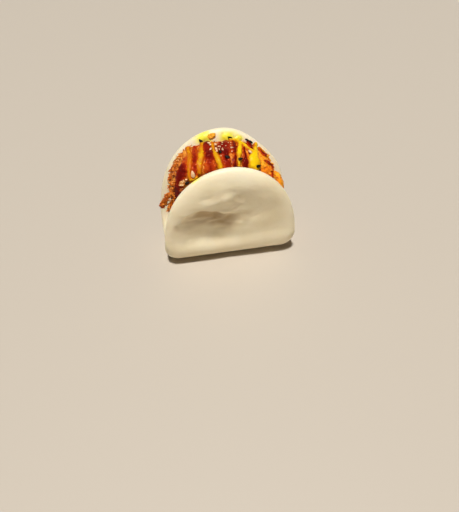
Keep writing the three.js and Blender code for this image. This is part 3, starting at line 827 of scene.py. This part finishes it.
# %% Add the flakes
FLAKES = [  # x, y, z, half length, tilt down in degrees
    (-40.6, -0.5, 47.0, 5.8, 52),
    (-43.0, -0.8, 42.8, 3.4, 48),
    (-38.4, -1.5, 40.5, 5.4, 76),
]
FLAKE_HALF = np.array([0.8, 0.3, 0.25])  # times its half length
FLAKE_TONE = 0.45
FLAKE_CRUMBS, FLAKE_CRUMB_SIZES = 60, (0.4, 1.3)  # how many cling to each flake, and their sizes
FLAKE_CRUMB_HALF = np.array([1.7, 0.6, 0.5])  # times that size
for x, y, z, length, tilt in FLAKES:
    tilt_matrix = np.array(Matrix.Rotation(math.radians(-tilt), 3, "Y"))
    half = length * FLAKE_HALF
    add_crumb(np.array([x, y, z]), half, tilt_matrix, FLAKE_TONE)
    for _ in range(FLAKE_CRUMBS):
        toward = draw.normal(size=3)
        spot = np.array([x, y, z]) + tilt_matrix @ (toward / np.linalg.norm(toward) * half)
        size = draw.uniform(*FLAKE_CRUMB_SIZES)
        add_crumb(spot, size * FLAKE_CRUMB_HALF, random_turn(), 0.85 * draw.random())
print("crumbs with the flakes:", len(crumb_points))

# %% [markdown]
# Some crumbs fell on the glaze along its left edge, and a clump of pale ones lies where the
# first yellow strand meets the front flap. These came after the glaze, so they aren't soaked:
# how many points the crumbs before them have is kept for that.

# %% Drop crumbs on the glaze
on_crust = sum(len(points) for points in crumb_points)
EDGE_CRUMBS, EDGE_LIMIT = 60, -28.5  # and the x they stay to the left of
EDGE_NEAR = 0.3  # height of the glaze, at most, at its edge
PALE_CRUMBS = 18
PALE_CLUMP, PALE_SPREAD = (-28.0, -0.925), (0.9, 0.028)  # x and share
PALE_LIMIT = -0.985  # share that they stay behind, at the front flap
DROP_AROUND = 0.8  # how far round a small thing its seat is looked for
DROP_SLIM, DROP_STOUT = (0.8, 0.6, 0.4), (1.4, 0.9, 0.7)  # half sizes, times the crumb's size
DROP_PROUD = 0.2


def drop_crumb(seat, normal, size, tone):
    """A stout crumb on a seat."""
    half = size * draw.uniform(DROP_SLIM, DROP_STOUT)
    add_crumb(seat + normal * DROP_PROUD * size, half, random_turn(), tone)


glaze_edge = sauce_base[(np.abs(glaze_height) < EDGE_NEAR) & (sauce_base[..., 0] < EDGE_LIMIT)]
for place in draw.choice(glaze_edge, EDGE_CRUMBS):
    drop_crumb(*seat_near(place, DROP_AROUND), draw.uniform(0.5, 1.1), draw.uniform(0.1, 0.7))
for _ in range(PALE_CRUMBS):
    x, share = PALE_CLUMP + draw.normal(size=2) * PALE_SPREAD
    drop_crumb(*seat_on_cutlet(x, max(share, PALE_LIMIT), DROP_AROUND), draw.uniform(0.5, 1.0), 1)
print("crumbs with those on the glaze:", len(crumb_points))

# %% [markdown]
# ## Sauce on the back flap
# Some yellow sauce was smeared up the inside of the back flap, with a crumb in it. Paint on the
# dough alone would look flat from the side, so it is made like the drizzle: a sheet over the
# dough's inner skin, whose height comes from the distance to a few spots. It sinks into the
# dough towards the rim, where the sheet ends, so that no edge shows there.

# %% Inside of the back flap
SMEAR_ROWS, SMEAR_COLUMNS = 90, 260
SMEAR_REACH, SMEAR_ANGLES = (0.86, 0.9995), (62, 116)  # shares of the radius, and degrees
smear_reach = np.linspace(*SMEAR_REACH, SMEAR_ROWS)[:, None]
smear_angle = np.radians(np.linspace(*SMEAR_ANGLES, SMEAR_COLUMNS))[None, :]


def inner_dough(angle, reach):
    """Inner face of the dough, with its unevenness."""
    smooth = dough_skin(angle, reach, -1)
    return dough_skin(angle, reach, -1, dough_relief(smooth, False))


smear_base = inner_dough(smear_angle, smear_reach)
smear_normal = np.cross(np.gradient(smear_base, axis=0), np.gradient(smear_base, axis=1))
smear_normal /= np.linalg.norm(smear_normal, axis=-1, keepdims=True)
middle_normal = smear_normal[SMEAR_ROWS // 2, SMEAR_COLUMNS // 2]
print("inside of the back flap:", smear_base.shape[:2], "points, facing", middle_normal.round(2))

# %% Smear the sauce
SMEARS = [  # angle in degrees, share of the radius, half width, half height and thickness
    (101.8, 0.978, 4.4, 4.2, 0.6),
    (84.8, 0.953, 4.8, 3.6, 0.6),
    (77.3, 0.948, 3.2, 2.2, 0.5),
]
SMEAR_BODY = 0.5  # closes the sheet underneath, inside the dough
SMEAR_SLOPE = 0.5  # how steeply the sheet dives beside a smear
SMEAR_END = -0.2  # and the depth at which it is cut off
RIM_SINK = (0.987, 0.998)  # shares of the radius between which it sinks by 1 mm


def smear_distance(points, at, share, wide, high):
    """Distance from the middle of a smear, 1 at its ragged edge."""
    gap = points - inner_dough(np.array(math.radians(at)), np.array(share))
    ragged = 0.22 * soft_noise(points, 2.5, 41) + 0.2 * soft_noise(points, 6, 42)
    return np.hypot(gap[..., 0] / wide, np.hypot(gap[..., 1], gap[..., 2]) / high) + ragged


smear_height = np.full(smear_base.shape[:-1], -1.0)
for at, share, wide, high, thick in SMEARS:
    away = smear_distance(smear_base, at, share, wide, high)
    dive = SMEAR_SLOPE * np.clip(away - 1, 0, 2)
    smear_height = np.maximum(smear_height, thick * smooth_step(away, 1, 0.3) - dive)
smear_height = smear_height - smooth_step(smear_reach, *RIM_SINK)
smear_top = smear_base + smear_normal * smear_height[..., None]
smear_points, smear_faces, smear_used = part_of_sheet(smear_top, smear_height > SMEAR_END)
smear = mesh_piece("sauce_on_bun", smear_points, smear_faces)
close_underneath(smear, SMEAR_BODY)
print("sauce on the bun:", len(smear_points), "points, up to", smear_height.max().round(2), "mm high")

# %% [markdown]
# Thin sauce also stains the dough round the smears, and where the drizzle touches the rim of the
# front flap. A stain has no height, so it is a stored tone. The smears and the bun have it alike,
# which lets the sauce fade into the dough without a seam.

# %% Stain the dough
STAIN_EDGE = (1.75, 0.55)  # distances from a smear's middle between which the stain sets in
FRONT_STAIN = np.linspace(-115, -111, 9)  # angles along the front rim
FRONT_STAIN_SHARE = 0.998
FRONT_STAIN_EDGE = (2.2, 0.5)
FRONT_STAIN_RAGGEDNESS = 0.8
smear_stain = np.zeros(smear_base.shape[:-1])
stain = np.zeros(len(bun_points))
inside_back = np.zeros(bun_skin.shape[:2], bool) | ((side < 0) & (np.sin(angle) > 0))
inside_back = np.concatenate([[False], inside_back.ravel(), [False]])
for *spot, _ in SMEARS:
    smear_stain = np.maximum(smear_stain, smooth_step(smear_distance(smear_base, *spot), *STAIN_EDGE))
    near = smooth_step(smear_distance(bun_points, *spot), *STAIN_EDGE)
    stain = np.maximum(stain, inside_back * near)
front_shares = np.full(len(FRONT_STAIN), FRONT_STAIN_SHARE)
front_rim = dough_skin(np.radians(FRONT_STAIN), front_shares, -1)
away = np.linalg.norm(bun_points[:, None] - front_rim, axis=-1).min(1)
away += FRONT_STAIN_RAGGEDNESS * soft_noise(bun_points, 2.4, 43)
stain = np.maximum(stain, smooth_step(away, *FRONT_STAIN_EDGE))
tone_layer(smear, "stain", smear_stain.ravel()[smear_used])
# the sauce gets no painted crease shade, but it shares the dough's colour recipe
tone_layer(smear, "crease_shade", np.zeros(len(smear_used)))
tone_layer(bun, "stain", stain)
print("stained points of the bun:", np.count_nonzero(stain))

# %% [markdown]
# The crumb in the sauce is a flat golden lump, a cluster of short chips pressed into the dough.
# With it all crumbs are there, and they become one piece with flat faces, as broken crust has.

# %% Add the crumb on the back flap
STRAY_ANGLE, STRAY_SHARE, STRAY_CHIPS = 95.9, 0.97, 20
STRAY_HALF = np.array([2.0, 1.0])  # of the cluster
STRAY_SLIM, STRAY_STOUT = (0.8, 0.7, 0.5), (1.15, 0.95, 0.75)  # half sizes of a chip
STRAY_TONE = 0.95
on_cutlet = sum(len(points) for points in crumb_points)


def smear_place(at, share):
    """Row and column of the back flap's grid nearest to an angle and a share."""
    away = np.hypot(smear_angle - math.radians(at), (smear_reach - share) * 2)
    return np.unravel_index(away.argmin(), away.shape)


stray_place = smear_place(STRAY_ANGLE, STRAY_SHARE)
stray_out = smear_normal[stray_place]
stray_up = np.cross(stray_out, (1.0, 0, 0))
stray_axes = np.stack([np.cross(stray_up, stray_out), stray_up, stray_out], 1)
for _ in range(STRAY_CHIPS):
    flat = STRAY_HALF * draw.uniform(-1, 1, 2)
    spot = smear_base[stray_place] + stray_axes @ np.append(flat, draw.uniform(0.2, 0.5))
    spin = np.array(Matrix.Rotation(draw.uniform(0, math.pi), 3, "Z"))
    add_crumb(spot, draw.uniform(STRAY_SLIM, STRAY_STOUT), stray_axes @ spin, STRAY_TONE)
print("crumb on the back flap at", smear_base[stray_place].round(1), "mm")

# %% Join the crumbs
STRAY_OIL = 0.9
all_crumb_points = np.concatenate(crumb_points)
crumbs = mesh_piece("crumbs", all_crumb_points, np.concatenate(crumb_faces).tolist(), smooth=False)
tone_layer(crumbs, "golden_and_pit_shade", np.concatenate(crumb_golden))
crumb_soak = soaked(all_crumb_points)
crumb_soak[on_crust:] = 0
tone_layer(crumbs, "soaked", crumb_soak)
crumb_oil = oiliness(all_crumb_points)
crumb_oil[on_cutlet:] = STRAY_OIL
tone_layer(crumbs, "oily", crumb_oil)
print("crumbs:", len(crumb_points), "chips,", len(crumbs.data.polygons), "faces")

# %% [markdown]
# ## Sesame seeds
# A sesame seed is a flat drop, 3 to 3.5 mm long. Black and white seeds were thrown on last, so
# they lie on top of whatever is highest there: crust, glaze or drizzle. Copies of one mesh object
# would do, but a single piece per kind is easier to keep. So a ball is pulled to a drop and set
# down at each place, turned nearly flat to the surface and a little sunk in.

# %% Shape of a seed
SEED_HALF = np.array([1.75, 0.95, 0.62])
SEED_NARROWING, SEED_THINNING = 0.38, 0.2  # towards its tip
ball_points, ball_faces = unit_ball(3)
seed_shape = ball_points * SEED_HALF
seed_shape[:, 1] *= 1 - SEED_NARROWING * ball_points[:, 0]
seed_shape[:, 2] *= 1 - SEED_THINNING * ball_points[:, 0]
print("a seed is", np.ptp(seed_shape, axis=0).round(2), "mm long, wide and thick")

# %% Seats and turns of the seeds
SEED_LIFT = 0.5  # share of its half thickness by which a seed's middle is over its seat


def seat_on_smear(at, share):
    """A seat on the inside of the back flap, on its sauce where there is some."""
    place = smear_place(at, share)
    normal = smear_normal[place]
    return smear_base[place] + normal * max(smear_height[place], 0), normal


def seed_points(seat, normal, degrees, tilt, scale):
    """A seed on its seat, turned by degrees from the x axis, with its tip tilted up or down."""
    along = np.array([1.0, 0, 0]) - normal * normal[0]
    along /= np.linalg.norm(along)
    turn = math.radians(degrees)
    first = along * math.cos(turn) + np.cross(normal, along) * math.sin(turn) + normal * tilt
    first /= np.linalg.norm(first)
    second = np.cross(normal, first)
    second /= np.linalg.norm(second)
    axes = np.stack([first, second, np.cross(first, second)])
    return seat + normal * SEED_HALF[2] * SEED_LIFT * scale + scale * seed_shape @ axes

# %% Set the seeds down
BLACK_SEEDS = [  # x, share across, turn in degrees
    (-25.8, -0.979, 25), (-3.2, -0.41, 100), (0.7, -0.68, 145), (8.6, -0.78, 10),
    (16.1, 0.64, 25), (18.0, 0.5, 160), (19.3, -0.88, 5),
]
WHITE_SEEDS = [  # the same, and a scale
    (-21.5, -0.935, 95, 1.3), (-20.0, 0.80, 30, 0.8), (-8.3, -0.11, 60, 0.7),
    (-8.6, 0.45, 150, 0.7), (-4.6, 0.30, 95, 0.8), (-7.9, 0.30, 70, 0.7),
    (-4.9, -0.15, 100, 0.8), (-5.0, -0.36, 80, 0.7), (15.5, -0.44, 140, 0.9),
    (13.8, 0.36, 165, 0.95),
]
BLACK_ON_BUN = [(83, 0.948, 150), (104, 0.962, 130)]  # angle, share, turn
GLINT_BITS, GLINT_BIT_SCALE = 24, 0.31  # pale bits in the middle of the glaze, partly broken white seed and partly painted glints
GLINT_BITS_X, GLINT_BITS_SHARE = (-4, 5.5), (-0.6, 0.45)
SEED_TILT = 0.25


def seed_piece(name, seats):
    points = []
    for seat, degrees, scale in seats:
        points.append(seed_points(*seat, degrees, draw.uniform(-SEED_TILT, SEED_TILT), scale))
    faces = [ball_faces + order * len(ball_points) for order in range(len(points))]
    piece = mesh_piece(name, np.concatenate(points), np.concatenate(faces).tolist())
    print(name, "-", len(points), "in all")
    return piece


black_seats = [(seat_on_cutlet(x, share), degrees, 1) for x, share, degrees in BLACK_SEEDS]
black_seats += [(seat_on_smear(at, share), degrees, 1) for at, share, degrees in BLACK_ON_BUN]
white_and_glint_seats = [(seat_on_cutlet(x, share), degrees, scale) for x, share, degrees, scale in WHITE_SEEDS]
# painted glints: small pale bits, made as broken white seed, stand in for the glaze's sparkle
for _ in range(GLINT_BITS):
    seat = seat_on_cutlet(draw.uniform(*GLINT_BITS_X), draw.uniform(*GLINT_BITS_SHARE), DROP_AROUND)
    white_and_glint_seats.append((seat, draw.uniform(0, 180), GLINT_BIT_SCALE * draw.uniform(0.7, 1.3)))
black_seeds = seed_piece("black_seeds", black_seats)
white_seeds_and_glints = seed_piece("white_seeds_and_glints", white_and_glint_seats)

# %% [markdown]
# ## Finishes
# Each finish is one Principled shader. Dough, crumb and yellow sauce let a little light in, so
# they have some subsurface; the dark glaze has none, and its wet shine is a low roughness. Noise
# on the object's own coordinates breaks up colours and gives the finest grain, and the stored
# tones colour dough, crust and sauce. A few helpers keep each recipe short.

# %% A new finish
def new_finish(name):
    """A new material with its node tree and its Principled shader."""
    material = bpy.data.materials.new(name)
    material.use_nodes = True
    print("finish:", name)
    return material, material.node_tree, material.node_tree.nodes["Principled BSDF"]

# %% Noise, stored tones and ramps
def noise_value(tree, scale, detail=4, roughness=0.5):
    place = tree.nodes.new("ShaderNodeTexCoord")
    noise = tree.nodes.new("ShaderNodeTexNoise")
    noise.inputs["Scale"].default_value = scale
    noise.inputs["Detail"].default_value = detail
    noise.inputs["Roughness"].default_value = roughness
    tree.links.new(place.outputs["Object"], noise.inputs["Vector"])
    return noise.outputs["Fac"]


def stored_tone(tree, name):
    """The tone that tone_layer stored under this name."""
    layer = tree.nodes.new("ShaderNodeVertexColor")
    layer.layer_name = name
    return layer.outputs["Color"]


def colour_ramp(tree, value, stops):
    ramp = tree.nodes.new("ShaderNodeValToRGB")
    while len(ramp.color_ramp.elements) < len(stops):
        ramp.color_ramp.elements.new(0.5)
    for element, (position, colour) in zip(ramp.color_ramp.elements, stops):
        element.position = position
        element.color = (*colour, 1)
    tree.links.new(value, ramp.inputs["Fac"])
    return ramp.outputs["Color"]


def grey(value):
    return (value, value, value)

# %% Mixes, fine relief and light under the skin
def colour_mix(tree, share, first, second, blend="MIX"):
    """Blends two colours by a linked share, or all the way where it is None."""
    mix = tree.nodes.new("ShaderNodeMix")
    mix.data_type = "RGBA"
    mix.blend_type = blend
    mix.inputs[0].default_value = 1
    if share is not None:
        tree.links.new(share, mix.inputs[0])
    tree.links.new(first, mix.inputs[6])
    tree.links.new(second, mix.inputs[7])
    return mix.outputs[2]


def bump(tree, shader, height, distance, strength):
    node = tree.nodes.new("ShaderNodeBump")
    node.inputs["Strength"].default_value = strength
    node.inputs["Distance"].default_value = distance
    tree.links.new(height, node.inputs["Height"])
    tree.links.new(node.outputs["Normal"], shader.inputs["Normal"])


def let_light_in(shader, weight, radius, scale):
    shader.inputs["Subsurface Weight"].default_value = weight
    shader.inputs["Subsurface Radius"].default_value = radius
    shader.inputs["Subsurface Scale"].default_value = scale

# %% [markdown]
# Steamed dough is cream white, with a soft satin skin and very fine pores. Light travels a few
# millimetres in it, which fills its shadows with a warm glow. The crease under the lip is painted
# with shade, a darker and browner dough colour, and where thin sauce stained it it is lemon yellow.
# One colour recipe serves the bun and the thin sauce on it, which keeps their border soft.

# %% Dough
def stained_dough_colour(tree):
    cream = colour_ramp(tree, noise_value(tree, 45, 3), [
        (0.3, (0.80, 0.69, 0.45)), (0.7, (0.88, 0.79, 0.57))])
    lemon = colour_ramp(tree, noise_value(tree, 300, 3), [
        (0.3, (0.94, 0.79, 0.04)), (0.7, (0.97, 0.87, 0.07))])
    # painted shade: the crease tone multiplies the cream towards a darker brown
    crease_shade_colour = colour_ramp(tree, stored_tone(tree, "crease_shade"), [
        (0.1, grey(1)), (0.9, (0.60, 0.49, 0.36))])
    dough_with_crease_shade = colour_mix(tree, None, cream, crease_shade_colour, "MULTIPLY")
    return colour_mix(tree, stored_tone(tree, "stain"), dough_with_crease_shade, lemon)


dough_finish, tree, shader = new_finish("steamed_dough")
tree.links.new(stained_dough_colour(tree), shader.inputs["Base Color"])
shader.inputs["Roughness"].default_value = 0.5
let_light_in(shader, 0.25, (1.0, 0.72, 0.42), 0.002)
bump(tree, shader, noise_value(tree, 600, 5, 0.6), 0.0002, 0.6)
bun.data.materials.append(dough_finish)

# %% [markdown]
# Fried crumb runs from dark brown in the pits, which is painted shade, to gold on the tips, and shines a
# little with oil.
# One ramp is for dry crumb and one for oily crumb. Fine dark specks lie over both, and where
# glaze has soaked in the crumb turns to a deep red brown.

# %% Crust
crust_finish, tree, shader = new_finish("fried_crumb")
# the ramp's dark low end colours the darker grains, and the pits as painted shade
toast = colour_ramp(tree, stored_tone(tree, "golden_and_pit_shade"), [
    (0.06, (0.24, 0.036, 0.004)), (0.26, (0.42, 0.080, 0.008)),
    (0.50, (0.64, 0.165, 0.012)), (0.90, (0.81, 0.32, 0.042)), (1.0, (0.88, 0.63, 0.33))])
oiled = colour_ramp(tree, stored_tone(tree, "golden_and_pit_shade"), [
    (0.06, (0.34, 0.050, 0.003)), (0.30, (0.95, 0.25, 0.006)),
    (0.80, (1.0, 0.43, 0.012)), (1.0, (1.0, 0.54, 0.03))])
toast = colour_mix(tree, stored_tone(tree, "oily"), toast, oiled)
speckle = colour_ramp(tree, noise_value(tree, 700), [
    (0.32, (0.74, 0.62, 0.52)), (0.6, grey(1))])
toast = colour_mix(tree, None, toast, speckle, "MULTIPLY")
soak = colour_ramp(tree, noise_value(tree, 400), [
    (0.3, (0.20, 0.014, 0.004)), (0.7, (0.42, 0.05, 0.008))])
tree.links.new(colour_mix(tree, stored_tone(tree, "soaked"), toast, soak), shader.inputs["Base Color"])
gloss = colour_ramp(tree, noise_value(tree, 300, 3), [(0.3, grey(0.36)), (0.7, grey(0.62))])
tree.links.new(gloss, shader.inputs["Roughness"])
shader.inputs["Specular IOR Level"].default_value = 0.16
let_light_in(shader, 0.08, (1.0, 0.5, 0.2), 0.0015)
bump(tree, shader, noise_value(tree, 1400, 5, 0.65), 0.00025, 0.7)
for piece in (crust, bare_end, crumbs):
    piece.data.materials.append(crust_finish)

# %% [markdown]
# The glaze is nearly black where it is deep and red where it is thin, so its colour follows the
# stored depth. Its reflections are tinted, as the light goes through a skin of syrup first.

# %% Dark glaze finish
glaze_finish, tree, shader = new_finish("sticky_glaze")
depth = colour_ramp(tree, stored_tone(tree, "depth"), [
    (0.0, (0.50, 0.07, 0.006)), (0.08, (0.38, 0.034, 0.005)),
    (0.17, (0.26, 0.014, 0.004)), (0.34, (0.13, 0.005, 0.003))])
tree.links.new(depth, shader.inputs["Base Color"])
shader.inputs["Roughness"].default_value = 0.13
shader.inputs["Specular IOR Level"].default_value = 0.09
shader.inputs["Specular Tint"].default_value = (1.0, 0.25, 0.15, 1)
bump(tree, shader, noise_value(tree, 620, 4), 0.0006, 0.8)
glaze.data.materials.append(glaze_finish)

# %% [markdown]
# The drizzle is an egg yellow, opaque where it is thick. Where it is thin the crust and the glaze
# under it show through as orange brown, so its colour follows the stored depth too.

# %% Yellow drizzle finish
drizzle_finish, tree, shader = new_finish("egg_yellow_drizzle")
thick = colour_ramp(tree, stored_tone(tree, "depth"), [
    (0.0, (0.54, 0.11, 0.004)), (0.20, (0.58, 0.178, 0.003)),
    (0.38, (0.65, 0.335, 0.005)), (0.65, (0.87, 0.56, 0.006))])
patches = colour_ramp(tree, noise_value(tree, 160, 3), [(0.3, (0.94, 0.88, 0.8)), (0.7, grey(1))])
tree.links.new(colour_mix(tree, None, thick, patches, "MULTIPLY"), shader.inputs["Base Color"])
shader.inputs["Roughness"].default_value = 0.4
shader.inputs["Specular IOR Level"].default_value = 0.09
let_light_in(shader, 0.2, (1.0, 0.6, 0.1), 0.0015)
bump(tree, shader, noise_value(tree, 420, 3), 0.0003, 0.35)
drizzle.data.materials.append(drizzle_finish)

# %% [markdown]
# The thin sauce on the bun takes its colour from the dough's own recipe, lemon yellow where the
# stain is full, but its skin is smoother and wetter than dough.

# %% Thin sauce on the dough
smear_finish, tree, shader = new_finish("thin_yellow_sauce")
tree.links.new(stained_dough_colour(tree), shader.inputs["Base Color"])
shader.inputs["Roughness"].default_value = 0.4
let_light_in(shader, 0.3, (1.0, 0.8, 0.2), 0.002)
bump(tree, shader, noise_value(tree, 420, 3), 0.0003, 0.35)
smear.data.materials.append(smear_finish)

# %% [markdown]
# Sesame husk is satin and finely pitted. Black seeds are a dark brown, not pure black, and white
# ones are cream with browner patches from toasting, so each kind is a noise between two tones.

# %% Seeds
SEED_TONES = [  # piece, name of its finish, darkest and lightest colour
    (black_seeds, "black_sesame", (0.006, 0.004, 0.003), (0.025, 0.016, 0.010)),
    (white_seeds_and_glints, "white_sesame", (0.62, 0.38, 0.20), (0.90, 0.60, 0.36)),
]
for piece, name, dark, light in SEED_TONES:
    finish, tree, shader = new_finish(name)
    husk = colour_ramp(tree, noise_value(tree, 450, 3), [(0.35, dark), (0.65, light)])
    tree.links.new(husk, shader.inputs["Base Color"])
    shader.inputs["Roughness"].default_value = 0.5
    shader.inputs["Specular IOR Level"].default_value = 0.1
    bump(tree, shader, noise_value(tree, 2200, 3), 0.0001, 0.6)
    piece.data.materials.append(finish)

# %% [markdown]
# ## Table, light and camera
# The table is a plain pale plane, so large that its edge is far off in every view. It belongs to
# the stage and not to the part.

# %% Table
TABLE_SIZE = 6  # metres
bpy.ops.mesh.primitive_plane_add(size=TABLE_SIZE, location=(0, 0, 0))
table = bpy.context.object
table.name = "table"
table_finish, tree, shader = new_finish("pale_table")
shader.inputs["Base Color"].default_value = (0.50, 0.44, 0.36, 1)
shader.inputs["Roughness"].default_value = 0.6
table.data.materials.append(table_finish)
print("table:", TABLE_SIZE, "m wide")

# %% [markdown]
# The light comes from above, so the rims of the flaps are bright and the front flap lies in soft
# shade. An area lamp could give that, but a sun has the same strength over the whole bun, and its
# angle sets how soft the shadow is. A weak warm panel in front opens the shade.

# %% Light
LIT_SPOT = Vector((0, 0, 0.04))  # about the middle of the bun, in metres


def light_from(name, kind, place, power, colour):
    """A light at a place in metres that looks at the bun."""
    light = bpy.data.lights.new(name, kind)
    light.energy = power
    light.color = colour
    lamp = bpy.data.objects.new(name, light)
    lamp.location = place
    lamp.rotation_euler = (LIT_SPOT - Vector(place)).to_track_quat("-Z", "Y").to_euler()
    bpy.context.scene.collection.objects.link(lamp)
    print("light:", name, "of power", power)
    return light


over = light_from("over_light", "SUN", (-0.06, -0.24, 1.0), 4.1, (1.0, 0.99, 0.98))
over.angle = math.radians(7)
front = light_from("front_panel", "AREA", (0.15, -1.0, 0.7), 0.6, (1.0, 0.62, 0.34))
front.shape = "DISK"
front.size = 0.9

# %% [markdown]
# The room lights the rest and gives the glaze something to reflect. Real walls would cost more, so
# the world is a ramp over height: pale round the horizon and dark overhead.

# %% Room
world = bpy.data.worlds.new("room")
bpy.context.scene.world = world
world.use_nodes = True
tree = world.node_tree
place = tree.nodes.new("ShaderNodeTexCoord")
split = tree.nodes.new("ShaderNodeSeparateXYZ")
tree.links.new(place.outputs["Generated"], split.inputs["Vector"])
walls = colour_ramp(tree, split.outputs["Z"], [
    (0.0, (0.48, 0.44, 0.40)), (0.10, (0.30, 0.26, 0.22)),
    (0.35, grey(0.08)), (1.0, grey(0.05))])
tree.links.new(walls, tree.nodes["Background"].inputs["Color"])
bpy.context.scene.view_settings.view_transform = "Standard"
print("world:", world.name, "- colours shown as", bpy.context.scene.view_settings.view_transform)

# %% [markdown]
# The camera stands where the photograph was taken from: its place, its heading, how far it looks
# down, its roll and its focal length in pixels were worked out from the photograph. Three Euler
# angles would do, but the picture's own axes, put into a matrix, are easier to check.

# %% Camera
PHOTO_HEIGHT = 512
FOCAL_PIXELS = 455
HEADING, LOOK_DOWN, ROLL = (math.radians(value) for value in (-7.92, 43.2, -2.4))
CAMERA_PLACE = np.array([-34.77, -256.09, 228.18])
UP = np.array([0, 0, 1])
heading = np.array([-math.sin(HEADING), math.cos(HEADING), 0])
level = np.array([math.cos(HEADING), math.sin(HEADING), 0])
forward = heading * math.cos(LOOK_DOWN) - UP * math.sin(LOOK_DOWN)
upward = heading * math.sin(LOOK_DOWN) + UP * math.cos(LOOK_DOWN)
image_right = level * math.cos(ROLL) + upward * math.sin(ROLL)
image_up = upward * math.cos(ROLL) - level * math.sin(ROLL)
lens = bpy.data.cameras.new("camera")
lens.sensor_width = 36  # along the taller side of the picture
lens.lens = FOCAL_PIXELS * lens.sensor_width / PHOTO_HEIGHT
lens.clip_start, lens.clip_end = 0.01, 20
camera = bpy.data.objects.new("camera", lens)
turned = Matrix(np.stack([image_right, image_up, -forward], 1).tolist()).to_4x4()
camera.matrix_world = Matrix.Translation(Vector(CAMERA_PLACE * MM)) @ turned
bpy.context.scene.collection.objects.link(camera)
bpy.context.scene.camera = camera
print("camera at", CAMERA_PLACE, "mm, lens", round(lens.lens, 2), "mm")
